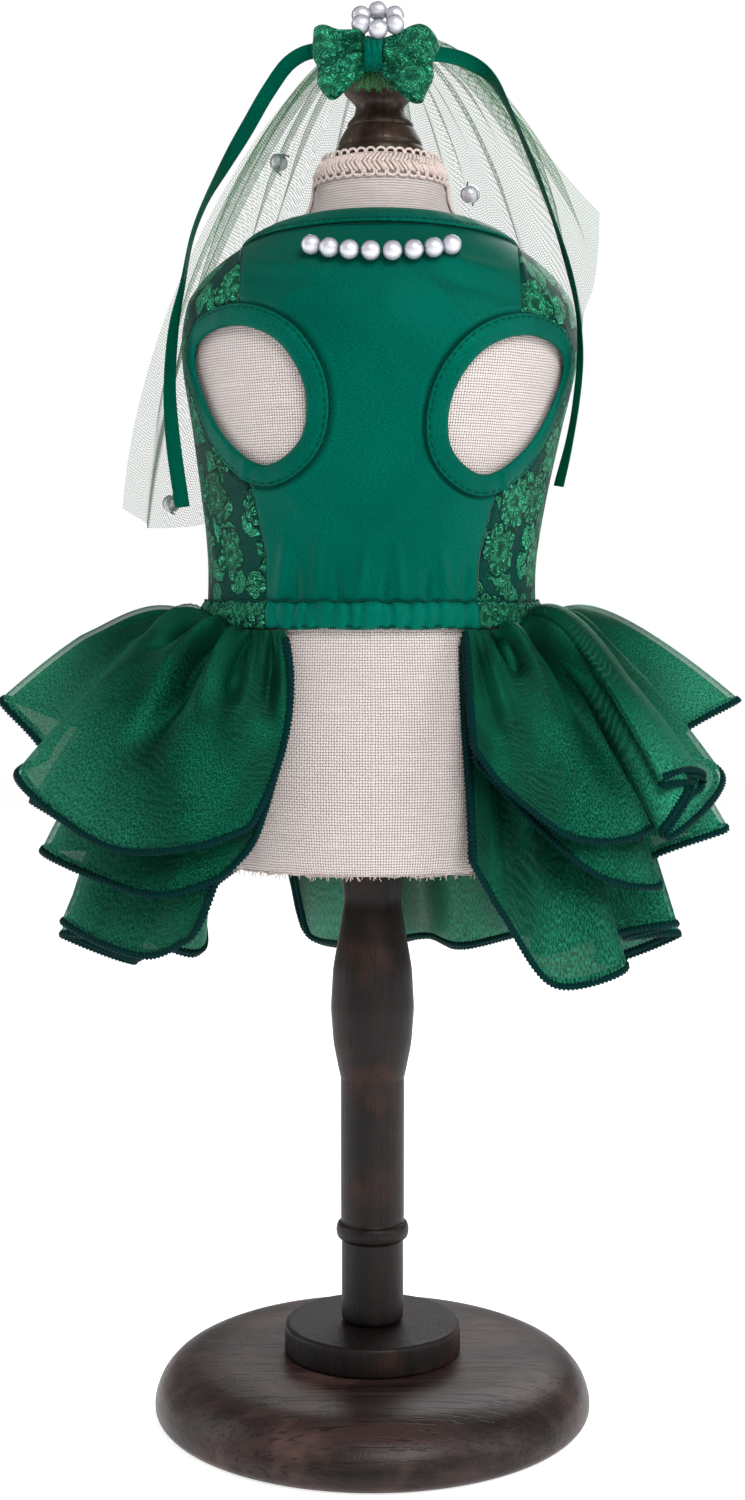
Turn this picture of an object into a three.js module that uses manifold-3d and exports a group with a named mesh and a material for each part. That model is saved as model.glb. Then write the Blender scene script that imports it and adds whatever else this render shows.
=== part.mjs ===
// A small dog's wedding dress and its veil, worn by a linen dress form on a turned wooden stand.
// Millimetres. +Z is up, the belly side faces -Y, and the origin is the centre of the stand's underside.
// A turn is an angle round the form in degrees: 0 at the belly, 90 at +X, 180 at the back.
import * as THREE from "three";
import { mergeVertices } from "three/addons/utils/BufferGeometryUtils.js";
import Module from "manifold-3d";

const wasm = await Module();
wasm.setup();

const GAP = 0.3; // between two pieces that touch
const CLOTH = 1.2; // wall of the bodice cloth
const EASE = 0.5; // between the form and the bodice
const DRESS_OFF = EASE + CLOTH; // the bodice's outer face, out from the form
const WAIST = 322.5; // height of the seam between bodice and waist casing
const CASING_FOOT = 312.2;
const NECKLINE = { middle: 467, rise: 4 }; // height of the neck edge, and how far the belly side rises
const PEARL = 7.7; // diameter

// The dress form, from its flat foot to the top of its neck: half width, depth to the belly and to the
// back, and how far the form leans towards +X.
const FORM = [
  { z: 218.6, half: 62, belly: 50, back: 51, lean: 0 },
  { z: 224, half: 65.5, belly: 53.5, back: 54.5, lean: 0 },
  { z: 250, half: 69, belly: 54, back: 57, lean: 0 },
  { z: 280, half: 68.5, belly: 52, back: 55, lean: 0 },
  { z: 305, half: 65.4, belly: 49, back: 51, lean: -0.2 },
  { z: 322, half: 63.8, belly: 48, back: 49, lean: -0.3 },
  { z: 340, half: 64.2, belly: 49, back: 50, lean: 0 },
  { z: 363, half: 67.2, belly: 53, back: 53, lean: 0.6 },
  { z: 390, half: 71.8, belly: 58, back: 56, lean: 1.8 },
  { z: 417, half: 77, belly: 60, back: 58, lean: 2.8 },
  { z: 434, half: 76.5, belly: 58, back: 58, lean: 3 },
  { z: 446, half: 71.5, belly: 54, back: 56.5, lean: 3 },
  { z: 455, half: 63, belly: 48.5, back: 53, lean: 3 },
  { z: 463, half: 51.5, belly: 42, back: 46, lean: 3.1 },
  { z: 469, half: 40, belly: 35, back: 37, lean: 3.1 },
  { z: 475, half: 30, belly: 28.5, back: 29, lean: 3.2 },
  { z: 481, half: 26.6, belly: 26.2, back: 26.2, lean: 3.2 },
  { z: 488, half: 25.6, belly: 25.6, back: 25.6, lean: 3.2 },
  { z: 492.5, half: 25, belly: 25, back: 25, lean: 3.2 },
  { z: 496, half: 22.8, belly: 22.8, back: 22.8, lean: 3.2 },
  { z: 498.6, half: 19.4, belly: 19.4, back: 19.4, lean: 3.2 },
];
const FINIAL_LEAN = 3.2;

const rad = THREE.MathUtils.degToRad;
const lerp = THREE.MathUtils.lerp;
const vec = (x, y, z) => new THREE.Vector3(x, y, z);
const steps = (n, from = 0, to = 1) =>
  Array.from({ length: n + 1 }, (_, i) => lerp(from, to, i / n));
const ring = (n) => steps(n, 0, 360).slice(0, n);

// ---- shapes that pieces are made with

// A closed body from points and faces, turned so that its faces point out.
function closed(points, faces) {
  let sixVolumes = 0;
  for (let i = 0; i < faces.length; i += 3) {
    const [a, b, c] = [points[faces[i]], points[faces[i + 1]], points[faces[i + 2]]];
    sixVolumes += a.dot(b.clone().cross(c));
  }
  if (sixVolumes < 0) faces.reverse();
  const geometry = new THREE.BufferGeometry().setFromPoints(points);
  geometry.setIndex(faces);
  geometry.computeVertexNormals();
  return geometry;
}

// A cloth wall between two grids of points, whose rows may run all the way round.
function wall(outer, inner, round = false) {
  const rows = outer.length;
  const columns = outer[0].length;
  const spans = round ? columns : columns - 1;
  const faces = [];
  const at = (side, row, column) => (side * rows + row) * columns + (column % columns);
  const quad = (a, b, c, d) => faces.push(a, b, c, a, c, d);
  for (let row = 0; row < rows - 1; row++)
    for (let i = 0; i < spans; i++) {
      quad(at(0, row, i), at(0, row, i + 1), at(0, row + 1, i + 1), at(0, row + 1, i));
      quad(at(1, row, i), at(1, row + 1, i), at(1, row + 1, i + 1), at(1, row, i + 1));
    }
  for (let i = 0; i < spans; i++) {
    const top = rows - 1;
    quad(at(1, 0, i), at(1, 0, i + 1), at(0, 0, i + 1), at(0, 0, i));
    quad(at(0, top, i), at(0, top, i + 1), at(1, top, i + 1), at(1, top, i));
  }
  if (!round)
    for (let row = 0; row < rows - 1; row++) {
      const end = columns - 1;
      quad(at(0, row, 0), at(0, row + 1, 0), at(1, row + 1, 0), at(1, row, 0));
      quad(at(1, row, end), at(1, row + 1, end), at(0, row + 1, end), at(0, row, end));
    }
  return closed([...outer.flat(), ...inner.flat()], faces);
}

// A body swept through sections that all have the same number of points, with flat ends or as a loop.
function swept(sections, loop = false) {
  const corners = sections[0].length;
  const faces = [];
  const count = sections.length;
  const at = (section, corner) => (section % count) * corners + (corner % corners);
  for (let i = 0; i < (loop ? count : count - 1); i++)
    for (let k = 0; k < corners; k++) {
      faces.push(at(i, k), at(i, k + 1), at(i + 1, k + 1));
      faces.push(at(i, k), at(i + 1, k + 1), at(i + 1, k));
    }
  if (!loop)
    for (let k = 1; k < corners - 1; k++) {
      faces.push(at(0, 0), at(0, k + 1), at(0, k));
      faces.push(at(count - 1, 0), at(count - 1, k), at(count - 1, k + 1));
    }
  return closed(sections.flat(), faces);
}

// The wall of a surface given by a function of two shares, u along it and v down it.
function clothOf(surface, us, vs, thick) {
  const STEP = 0.002;
  const side = (sign) =>
    vs.map((v) =>
      us.map((u) => {
        const along = surface(Math.min(u + STEP, 1), v).sub(surface(Math.max(u - STEP, 0), v));
        const down = surface(u, Math.min(v + STEP, 1)).sub(surface(u, Math.max(v - STEP, 0)));
        const normal = along.cross(down).normalize();
        return surface(u, v).addScaledVector(normal, (sign * thick) / 2);
      }),
    );
  return wall(side(1), side(-1));
}

// A turned body from its profile, [radius, height] from the foot up, with both ends on the axis.
function turned(profile, sides, lean = 0) {
  const outline = profile.map(([radius, z]) => new THREE.Vector2(radius, z));
  return new THREE.LatheGeometry(outline, sides).rotateX(Math.PI / 2).translate(lean, 0, 0);
}

function solidOf(geometry) {
  const bare = geometry.clone();
  bare.deleteAttribute("normal");
  bare.deleteAttribute("uv");
  const merged = mergeVertices(bare, 1e-3);
  const vertProperties = merged.attributes.position.array;
  const triVerts = new Uint32Array(merged.index.array);
  return new wasm.Manifold(new wasm.Mesh({ numProp: 3, vertProperties, triVerts }));
}

function geometryOf(solid) {
  const mesh = solid.getMesh();
  const geometry = new THREE.BufferGeometry();
  geometry.setAttribute("position", new THREE.BufferAttribute(mesh.vertProperties, 3));
  geometry.setIndex(new THREE.BufferAttribute(mesh.triVerts, 1));
  geometry.computeVertexNormals();
  return geometry;
}

// ---- the form's surface, which the dress is made from

// A column of a table, read smoothly between its rows.
function along(table, column, place) {
  const last = table.length - 1;
  const row = Math.min(Math.max(Math.floor(place), 0), last - 1);
  const value = (i) => table[Math.min(Math.max(i, 0), last)][column];
  const [a, b, c, d] = [value(row - 1), value(row), value(row + 1), value(row + 2)];
  const t = place - row;
  const bend = 2 * a - 5 * b + 4 * c - d + t * (3 * b - a - 3 * c + d);
  return b + (t * (c - a + t * bend)) / 2;
}

// The place in FORM of a height.
function placeOf(z) {
  let low = 0;
  let high = FORM.length - 1;
  for (let i = 0; i < 30; i++) {
    const middle = (low + high) / 2;
    if (along(FORM, "z", middle) < z) low = middle;
    else high = middle;
  }
  return (low + high) / 2;
}

function formPoint(place, turn) {
  const depth = along(FORM, Math.cos(rad(turn)) > 0 ? "belly" : "back", place);
  const half = along(FORM, "half", place);
  const lean = along(FORM, "lean", place);
  return vec(
    lean + half * Math.sin(rad(turn)),
    -depth * Math.cos(rad(turn)),
    along(FORM, "z", place),
  );
}

// A point off the form's surface at a height, so far out from it.
function skin(z, turn, off) {
  const place = placeOf(z);
  const reach = 0.02;
  const up = formPoint(place + reach, turn).sub(formPoint(place - reach, turn));
  const round = formPoint(place, turn + 1).sub(formPoint(place, turn - 1));
  const normal = round.cross(up).normalize();
  return formPoint(place, turn).addScaledVector(normal, off);
}

const FORM_SIDES = 28;

function formTorso() {
  const sections = FORM.map((_, row) => ring(FORM_SIDES).map((turn) => formPoint(row, turn)));
  return swept(sections);
}

// ---- bodice

const BODICE_SIDES = 48;
const BODICE_ROWS = FORM.filter(({ z }) => z > WAIST && z < 465).map(({ z }) => z);
const NECK_TUCK = 1; // the bodice stops this far short of the neckline, under the binding

const neckHeight = (turn) => NECKLINE.middle + NECKLINE.rise * Math.cos(rad(turn));

function bodiceTube() {
  const rows = [() => WAIST + GAP, ...BODICE_ROWS.map((z) => () => z)];
  rows.push((turn) => neckHeight(turn) - NECK_TUCK);
  const face = (off) =>
    rows.map((height) => ring(BODICE_SIDES).map((turn) => skin(height(turn), turn, off)));
  return wall(face(DRESS_OFF), face(EASE), true);
}

// The seam between the belly panel and the back panel, out from the form's own middle.
const SEAM = [
  { z: 300, out: 40 },
  { z: 340, out: 41.5 },
  { z: 370, out: 48.5 },
  { z: 410, out: 54 },
  { z: 490, out: 55.5 },
];
const SEAM_REACH = 120; // the cutter goes this far forward of the form's side

function bellyCutter(grow) {
  const edge = (side) =>
    SEAM.map(({ z, out }) => {
      const lean = along(FORM, "lean", placeOf(z));
      return new THREE.Vector2(lean + side * (out + grow), z);
    });
  const outline = new THREE.Shape([...edge(1), ...edge(-1).reverse()]);
  const block = new THREE.ExtrudeGeometry(outline, { depth: SEAM_REACH, bevelEnabled: false });
  return solidOf(block.rotateX(Math.PI / 2).translate(0, grow, 0));
}

// A leg hole's edge on the +X side. The -X side mirrors it.
const LEG_HOLE = [
  { turn: 46, z: 427 },
  { turn: 30, z: 421 },
  { turn: 21.5, z: 404 },
  { turn: 23, z: 384 },
  { turn: 35, z: 374.5 },
  { turn: 50, z: 383 },
  { turn: 62, z: 401 },
  { turn: 64.5, z: 419 },
];
const LEG_SHIFT = { left: 0, right: -3.6 }; // how far each hole sits above the rows of LEG_HOLE
const LEG_BINDING = 8.1; // width
const HOLE_STEPS = 26;
const DEGREE_LENGTH = 1.22; // length of one degree round the bodice at a leg hole

// The hole's edge as heights and turns, moved out from the hole by a width.
function legEdge(side, width) {
  const flat = LEG_HOLE.map(({ turn, z }) => vec(turn * DEGREE_LENGTH, z, 0));
  const curve = new THREE.CatmullRomCurve3(flat, true, "centripetal");
  return steps(HOLE_STEPS)
    .slice(0, HOLE_STEPS)
    .map((share) => {
      const point = curve.getPointAt(share);
      const tangent = curve.getTangentAt(share);
      return {
        turn: (side * (point.x + tangent.y * width)) / DEGREE_LENGTH,
        z: point.y - tangent.x * width + (side > 0 ? LEG_SHIFT.right : LEG_SHIFT.left),
      };
    });
}

// A plug through the bodice, as wide as the hole's edge moved out by a width.
function legCutter(side, width) {
  const INSIDE = -6;
  const OUTSIDE = 9;
  const loop = (off) => legEdge(side, width).map(({ turn, z }) => skin(z, turn, off));
  return solidOf(swept([loop(INSIDE), loop(OUTSIDE)]));
}

// Bands lie on the bodice: each section's corner is a share across the band and a height off the form.
const BINDING_SECTION = [
  { across: 0, off: DRESS_OFF + 0.45 },
  { across: 0.02, off: DRESS_OFF + 1.5 },
  { across: 0.25, off: DRESS_OFF + 2.3 },
  { across: 0.75, off: DRESS_OFF + 2.1 },
  { across: 1, off: DRESS_OFF + 1.1 },
  { across: 1, off: DRESS_OFF + 0.45 },
];

function legBinding(side) {
  const inner = legEdge(side, 0);
  const outer = legEdge(side, LEG_BINDING);
  const sections = inner.map((edge, i) =>
    BINDING_SECTION.map(({ across, off }) =>
      skin(lerp(edge.z, outer[i].z, across), lerp(edge.turn, outer[i].turn, across), off),
    ),
  );
  return swept(sections, true);
}

const NECK_BINDING = 5.8; // height

function neckBinding() {
  const sections = ring(BODICE_SIDES).map((turn) =>
    BINDING_SECTION.map(({ across, off }) =>
      skin(neckHeight(turn) + 0.4 - across * NECK_BINDING, turn, off),
    ),
  );
  return swept(sections, true);
}

// The casing is a turned-up hem over elastic, so it puckers into small gathers.
const CASING = {
  puff: 4.2, // how far it stands off the form
  pucker: 0.45, // depth of its gathers
  seam: 37, // turn of the seam between its belly and back halves
  joint: 0.5, // degrees between the two halves
};
const CASING_SECTION = [
  { up: 0, off: 0.16 },
  { up: 0, off: 0.7 },
  { up: 0.25, off: 0.97 },
  { up: 0.75, off: 1 },
  { up: 1, off: 0.6 },
  { up: 1, off: 0.16 },
];

function casing(from, to, gathers, spans) {
  const sections = steps(spans, from, to).map((turn) => {
    const phase = ((turn - from) / (to - from)) * gathers * 2 * Math.PI;
    const pucker = CASING.pucker * Math.cos(phase);
    return CASING_SECTION.map(({ up, off }) => {
      const out = off > 0.5 ? off * CASING.puff + pucker : off * CASING.puff;
      return skin(lerp(CASING_FOOT, WAIST, up), turn, out);
    });
  });
  return swept(sections);
}

// ---- skirt: three gathered strips, overlocked at the hem, open over the belly

// Hems of the folds at the two front edges: reach from the stand's axis and height at a turn.
const FRONT_FOLDS = {
  top: {
    right: [
      { turn: 35.5, out: 76, z: 264 },
      { turn: 44, out: 98, z: 247 },
      { turn: 56, out: 119, z: 235 },
      { turn: 69, out: 131, z: 246 },
      { turn: 76, out: 113, z: 257 },
      { turn: 81, out: 137, z: 259 },
      { turn: 88, out: 120, z: 266 },
    ],
    left: [
      { turn: 274, out: 131, z: 263 },
      { turn: 286.5, out: 142, z: 256 },
      { turn: 298, out: 131, z: 241 },
      { turn: 308, out: 118, z: 231 },
      { turn: 318, out: 98, z: 232 },
      { turn: 325, out: 79, z: 238 },
    ],
  },
  middle: {
    right: [
      { turn: 34, out: 70, z: 262 },
      { turn: 44, out: 84, z: 241 },
      { turn: 56, out: 103, z: 219 },
      { turn: 68.5, out: 118, z: 214 },
      { turn: 75.5, out: 109, z: 221 },
      { turn: 81.5, out: 141, z: 234 },
      { turn: 89, out: 110, z: 230 },
    ],
    left: [
      { turn: 275, out: 110, z: 226 },
      { turn: 285.5, out: 132, z: 227 },
      { turn: 298, out: 116, z: 218 },
      { turn: 308, out: 101, z: 213 },
      { turn: 318, out: 84, z: 220 },
      { turn: 324, out: 76, z: 231 },
    ],
  },
  under: {
    right: [
      { turn: 32.5, out: 70, z: 224 },
      { turn: 41, out: 76, z: 203 },
      { turn: 52, out: 87, z: 178 },
      { turn: 66, out: 106, z: 183 },
      { turn: 75, out: 91, z: 190 },
      { turn: 81.5, out: 121, z: 196 },
      { turn: 88, out: 100, z: 188 },
    ],
    left: [
      { turn: 276, out: 100, z: 188 },
      { turn: 284, out: 124, z: 199 },
      { turn: 293, out: 112, z: 192 },
      { turn: 303, out: 99, z: 189 },
      { turn: 312, out: 90, z: 197 },
    ],
  },
};
// Folds round the sides and back: crest and valley by turns.
const BACK_FOLDS = { from: 95, to: 267, count: 15, drop: 7 };
const SIDE_RISE = 12; // the hem is this much higher at the sides than at the back
const TIERS = {
  top: { off: 4.3, head: 311.3, out: 133, hem: 263, wave: 15, lift: 0.46, flat: 229, swell: 15 },
  middle: { off: 2.75, head: 309.5, out: 123, hem: 222, wave: 13, lift: 0.1, flat: 216, swell: 9 },
  under: { off: 1.2, head: 307.5, out: 112, hem: 168, wave: 12, lift: 0.05, flat: 168, swell: 2 },
};
// Folds of the under tier that are caught up, counted in BACK_FOLDS.
const TUCKS = [
  { fold: 9, rise: 42 },
  { fold: 10, rise: 16 },
];
const ORGANZA = 1.1;
const SKIRT_EDGE = { right: 31, left: 331 }; // turns of the front edges at the waist
const SWELL_FROM = 0.86; // share of the way round at which the left edge's swell begins
const SKIRT_KNEE = 0.4; // share of the way out at which the cloth turns down
const SKIRT_SPANS = 88;
const SKIRT_DOWN = [0, 0.14, 0.36, 0.66, 1];
const SKIRT_GATHERS = 22;
const GATHER_DEPTH = 0.9;

function hemOf(tier) {
  const { out, hem, wave } = TIERS[tier];
  const { from, to, count, drop } = BACK_FOLDS;
  const point = (turn, reach, z) =>
    vec(reach * Math.sin(rad(turn)), -reach * Math.cos(rad(turn)), z);
  const sewn = (folds) => folds.map(({ turn, out, z }) => point(turn, out, z));
  const back = steps(count - 1).map((share, i) => {
    const turn = lerp(from, to, share);
    const crest = (i % 2 ? -1 : 1) * (1 + 0.16 * Math.sin(2.3 * i + 0.7));
    const side = 0.5 - 0.5 * Math.cos(2 * rad(turn));
    const tuck = tier === "under" ? (TUCKS.find(({ fold }) => fold === i)?.rise ?? 0) : 0;
    const rise = SIDE_RISE * side + drop * crest * side + tuck;
    return point(turn, out + crest * wave, hem + rise);
  });
  const { right, left } = FRONT_FOLDS[tier];
  const points = [...sewn(right), ...back, ...sewn(left)];
  return new THREE.CatmullRomCurve3(points, false, "centripetal");
}

// The tier as a function of u, round from the right front edge to the left, and v, from waist to hem.
// Its left front edge swells towards the belly.
function tierSurface(tier) {
  const { off, head, lift, flat, swell } = TIERS[tier];
  const hem = hemOf(tier);
  return (u, v) => {
    const end = hem.getPointAt(u);
    const start = skin(head, lerp(SKIRT_EDGE.right, SKIRT_EDGE.left, u), off);
    const over = start.clone().lerp(end, SKIRT_KNEE);
    over.z = start.z + lift * (end.z - flat);
    const edge = Math.max(0, (u - SWELL_FROM) / (1 - SWELL_FROM)) ** 2;
    over.x += swell * edge;
    over.z = lerp(over.z, (start.z + end.z) / 2, edge);
    const point = start.clone().multiplyScalar((1 - v) ** 2);
    point.addScaledVector(over, 2 * v * (1 - v)).addScaledVector(end, v * v);
    const gather = GATHER_DEPTH * Math.cos(2 * Math.PI * SKIRT_GATHERS * u) * 4 * v * (1 - v);
    const out = vec(end.x - start.x, end.y - start.y, 0).normalize();
    return point.addScaledVector(out, gather * (1 - v));
  };
}

function skirtTier(tier) {
  return clothOf(tierSurface(tier), steps(SKIRT_SPANS), SKIRT_DOWN, ORGANZA);
}

// ---- veil

// The veil's hem, with the height over the bow that each fold springs to and how far out it hangs
// half way down, as a share of its reach.
const VEIL_HEM = [
  { turn: 97, out: 93, z: 480, spring: 562, hang: 0.6 },
  { turn: 100, out: 92, z: 461, spring: 562, hang: 0.75 },
  { turn: 104, out: 90, z: 442, spring: 557, hang: 0.82 },
  { turn: 111, out: 93, z: 430, spring: 555, hang: 0.85 },
  { turn: 120, out: 87, z: 417, spring: 553, hang: 0.9 },
  { turn: 130, out: 93, z: 405, spring: 552, hang: 0.88 },
  { turn: 141, out: 85, z: 395, spring: 551, hang: 0.9 },
  { turn: 153, out: 92, z: 386, spring: 550, hang: 0.86 },
  { turn: 165, out: 84, z: 378, spring: 549, hang: 0.9 },
  { turn: 177, out: 91, z: 371, spring: 549, hang: 0.86 },
  { turn: 189, out: 84, z: 366, spring: 548, hang: 0.9 },
  { turn: 201, out: 91, z: 362, spring: 548, hang: 0.86 },
  { turn: 213, out: 85, z: 359, spring: 548, hang: 0.92 },
  { turn: 225, out: 94, z: 357, spring: 548, hang: 0.88 },
  { turn: 237, out: 92, z: 354, spring: 548, hang: 0.92 },
  { turn: 248, out: 100, z: 353, spring: 548, hang: 0.87 },
  { turn: 257, out: 96, z: 354, spring: 548, hang: 0.95 },
  { turn: 264, out: 102, z: 360, spring: 548, hang: 0.97 },
];
const VEIL = { top: 544.9, gather: 6, thick: 0.9, spans: 45, rows: 6, shoulder: 0.32 };

function veilSurface() {
  const points = VEIL_HEM.map(({ turn, out, z }) =>
    vec(out * Math.sin(rad(turn)), -out * Math.cos(rad(turn)), z),
  );
  const hem = new THREE.CatmullRomCurve3(points, false, "centripetal");
  return (u, v) => {
    const share = Math.min(Math.max(u, 0), 1);
    const row = hem.getUtoTmapping(share) * (VEIL_HEM.length - 1);
    const end = hem.getPointAt(share);
    const turn = Math.atan2(end.x, -end.y);
    const reach = Math.hypot(end.x, end.y);
    const at = (far, z) =>
      vec(FINIAL_LEAN + reach * far * Math.sin(turn), -reach * far * Math.cos(turn), z);
    const start = at(VEIL.gather / reach, VEIL.top);
    const over = at(VEIL.shoulder, along(VEIL_HEM, "spring", row));
    const down = at(along(VEIL_HEM, "hang", row), lerp(end.z, VEIL.top, 0.5));
    return new THREE.CubicBezierCurve3(start, over, down, end).getPoint(v);
  };
}

function tulleVeil() {
  return clothOf(veilSurface(), steps(VEIL.spans), steps(VEIL.rows), VEIL.thick);
}

// Bow loops: a strip of brocade folded back on itself, pinched at the knot.
const BOW = {
  z: 534, // height of the pinch
  y: -24.4, // middle of the bow's depth
  depth: 4.6, // half the depth of a loop
  start: 4.3, // the loops begin this far from the knot's middle
  pinch: 4.6, // half height at the knot
  flare: 8.4, // added half height at the fullest
  fullest: 0.76, // how soon that is reached
  round: 0.1, // the outer fold is this much shorter at its corners
  part: 0.75, // half the way between the two leaves at the knot
  thick: 1,
  spans: 16,
};
const BOW_LOOPS = {
  left: { side: -1, length: 20, droop: 3.6 },
  right: { side: 1, length: 21.8, droop: 5 },
};

// u runs out along the loop's front leaf and home along its back leaf, v runs down it.
function bowLoop({ side, length, droop }) {
  const surface = (u, v) => {
    const out = Math.sin(Math.PI * u);
    const half = BOW.pinch + BOW.flare * Math.sin(BOW.fullest * Math.PI * out);
    const across = 2 * v - 1;
    const belly = BOW.depth * Math.sin(2 * Math.PI * u) * (0.75 + 0.25 * out);
    return vec(
      side * (BOW.start + length * out * (1 - BOW.round * across * across)),
      BOW.y - belly - BOW.part * Math.cos(Math.PI * u),
      BOW.z - droop * out - half * across,
    );
  };
  return clothOf(surface, steps(BOW.spans), steps(4), BOW.thick);
}

// The knot is a satin band round the pinch.
const KNOT = { width: 7.4, high: 5.6, deep: 5.9, y: -24.2, z: 535.4, thick: 1, steps: 16 };

function bowKnot() {
  const sections = ring(KNOT.steps).map((turn) => {
    const corner = (x, less) =>
      vec(
        x,
        KNOT.y - (KNOT.deep - less) * Math.cos(rad(turn)),
        KNOT.z + (KNOT.high - less) * Math.sin(rad(turn)),
      );
    const half = KNOT.width / 2;
    return [corner(-half, 0), corner(half, 0), corner(half, KNOT.thick), corner(-half, KNOT.thick)];
  });
  return swept(sections, true);
}

// Ribbon ties: the middle line, and how far the ribbon is turned from facing the view: 0 is flat on,
// 90 is edge on.
const RIBBON = { wide: 6.4, thick: 0.8, steps: 24 };
const RIBBONS = {
  left: [
    { x: -1.4, y: -17.5, z: 534.6, twist: 0 },
    { x: -13, y: -17.6, z: 537.4, twist: 5 },
    { x: -24, y: -16.8, z: 538.2, twist: 10 },
    { x: -32.5, y: -14, z: 534.6, twist: 14 },
    { x: -41, y: -10, z: 524.5, twist: 10 },
    { x: -49.5, y: -8, z: 510.5, twist: 8 },
    { x: -58.5, y: -9, z: 495, twist: 25 },
    { x: -66, y: -12, z: 480, twist: 55 },
    { x: -71, y: -16, z: 465, twist: 70 },
    { x: -74.2, y: -20, z: 446, twist: 50 },
    { x: -77.4, y: -24, z: 428, twist: 28 },
    { x: -78.8, y: -25.5, z: 406, twist: 20 },
    { x: -77.4, y: -25.5, z: 384, twist: 16 },
    { x: -73.8, y: -26, z: 359, twist: 14 },
  ],
  right: [
    { x: 1.4, y: -17.5, z: 534.6, twist: 0 },
    { x: 14, y: -17.6, z: 536.6, twist: 5 },
    { x: 27, y: -16.8, z: 537, twist: 10 },
    { x: 38, y: -13, z: 535, twist: 20 },
    { x: 47, y: -10, z: 529.5, twist: 45 },
    { x: 55, y: -9, z: 515.5, twist: 68 },
    { x: 62, y: -10, z: 499, twist: 74 },
    { x: 69, y: -13, z: 479.5, twist: 74 },
    { x: 75.6, y: -18, z: 458, twist: 70 },
    { x: 79.8, y: -23, z: 438, twist: 66 },
    { x: 80.8, y: -27, z: 419, twist: 60 },
    { x: 79, y: -28, z: 400, twist: 54 },
    { x: 76, y: -28, z: 383, twist: 50 },
    { x: 72, y: -28, z: 367, twist: 48 },
  ],
};

function ribbonTie(name) {
  const rows = RIBBONS[name];
  const line = new THREE.CatmullRomCurve3(rows.map(({ x, y, z }) => vec(x, y, z)));
  const side = name === "left" ? -1 : 1;
  const sections = steps(RIBBON.steps).map((share) => {
    const point = line.getPoint(share);
    const tangent = line.getTangent(share);
    const twist = rad(along(rows, "twist", share * (rows.length - 1)));
    const across = vec(tangent.z, 0, -tangent.x).normalize();
    const wide = across.multiplyScalar(Math.cos(twist)).add(vec(0, side * Math.sin(twist), 0));
    wide.addScaledVector(tangent, -wide.dot(tangent)).normalize();
    const flat = wide.clone().cross(tangent).normalize();
    const corner = (a, b) =>
      point
        .clone()
        .addScaledVector(wide, (a * RIBBON.wide) / 2)
        .addScaledVector(flat, (b * RIBBON.thick) / 2);
    return [corner(-1, -1), corner(1, -1), corner(1, 1), corner(-1, 1)];
  });
  return swept(sections);
}

// ---- pearls

const NECKLACE = { count: 8, step: 6.5, middle: 0.3, low: 450.6, rise: 2.8 };
const BOW_PEARLS = { count: 6, ring: 7.6, x: 2.2, y: -23.85, z: 548.7, tilt: 42 };
// side is 1 for a pearl on the veil's outer face and -1 for one on its inner face.
const VEIL_PEARLS = [
  { u: 0.842, v: 0.425, side: 1 },
  { u: 0.42, v: 0.463, side: 1 },
  { u: 0.33, v: 0.543, side: -1 },
  { u: 0.335, v: 0.552, side: 1 },
  { u: 0.873, v: 0.966, side: 1 },
];

// From the middle of the tulle to a pearl's centre.
const VEIL_SEAT = { outer: PEARL / 2 + 0.25, inner: PEARL / 2 + VEIL.thick / 2 + 0.5 };

function pearlAt(centre) {
  return new THREE.SphereGeometry(PEARL / 2, 8, 5).translate(...centre.toArray());
}

function necklacePearls() {
  return steps(NECKLACE.count - 1, -1, 1).map((share) => {
    const turn = NECKLACE.middle + (share * NECKLACE.step * (NECKLACE.count - 1)) / 2;
    return pearlAt(skin(NECKLACE.low + NECKLACE.rise * share ** 2, turn, DRESS_OFF + GAP + PEARL / 2));
  });
}

function bowPearls() {
  const { count, x, y, z, tilt } = BOW_PEARLS;
  return ring(count).map((turn) => {
    const across = BOW_PEARLS.ring * Math.sin(rad(turn));
    const back = -BOW_PEARLS.ring * Math.cos(rad(turn));
    return pearlAt(vec(x + across, y + back * Math.cos(rad(tilt)), z + back * Math.sin(rad(tilt))));
  });
}

function veilPearls() {
  const surface = veilSurface();
  const STEP = 0.01;
  return VEIL_PEARLS.map(({ u, v, side }) => {
    const point = surface(u, v);
    const along = surface(u + STEP, v).sub(surface(u - STEP, v));
    const down = surface(u, v + STEP).sub(surface(u, v - STEP));
    const normal = along.cross(down).normalize();
    if (normal.dot(vec(point.x, point.y, 0)) < 0) normal.negate();
    return pearlAt(point.addScaledVector(normal, side * (side > 0 ? VEIL_SEAT.outer : VEIL_SEAT.inner)));
  });
}

// ---- dress form trims and stand

const BRAID = { rows: [488.6, 492.5, 496, 498], under: 0.5, thick: 1.8 };

function neckBraid() {
  const section = [
    ...BRAID.rows.map((z) => ({ z, off: BRAID.thick })),
    ...BRAID.rows.toReversed().map((z) => ({ z, off: BRAID.under })),
  ];
  return swept(
    ring(24).map((turn) => section.map(({ z, off }) => skin(z, turn, off))),
    true,
  );
}

const SIDE_BRAID = { foot: 473.5, wide: 9 }; // width in degrees of turn

function sideBraid(turn) {
  const half = SIDE_BRAID.wide / 2;
  const head = BRAID.rows[0] - GAP;
  const between = FORM.map(({ z }) => z).filter((z) => z > SIDE_BRAID.foot && z < head - 1);
  const sections = [SIDE_BRAID.foot, ...between, head].map((z) => [
    skin(z, turn - half, BRAID.under),
    skin(z, turn - half, BRAID.thick),
    skin(z, turn + half, BRAID.thick),
    skin(z, turn + half, BRAID.under),
  ]);
  return swept(sections);
}

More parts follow.
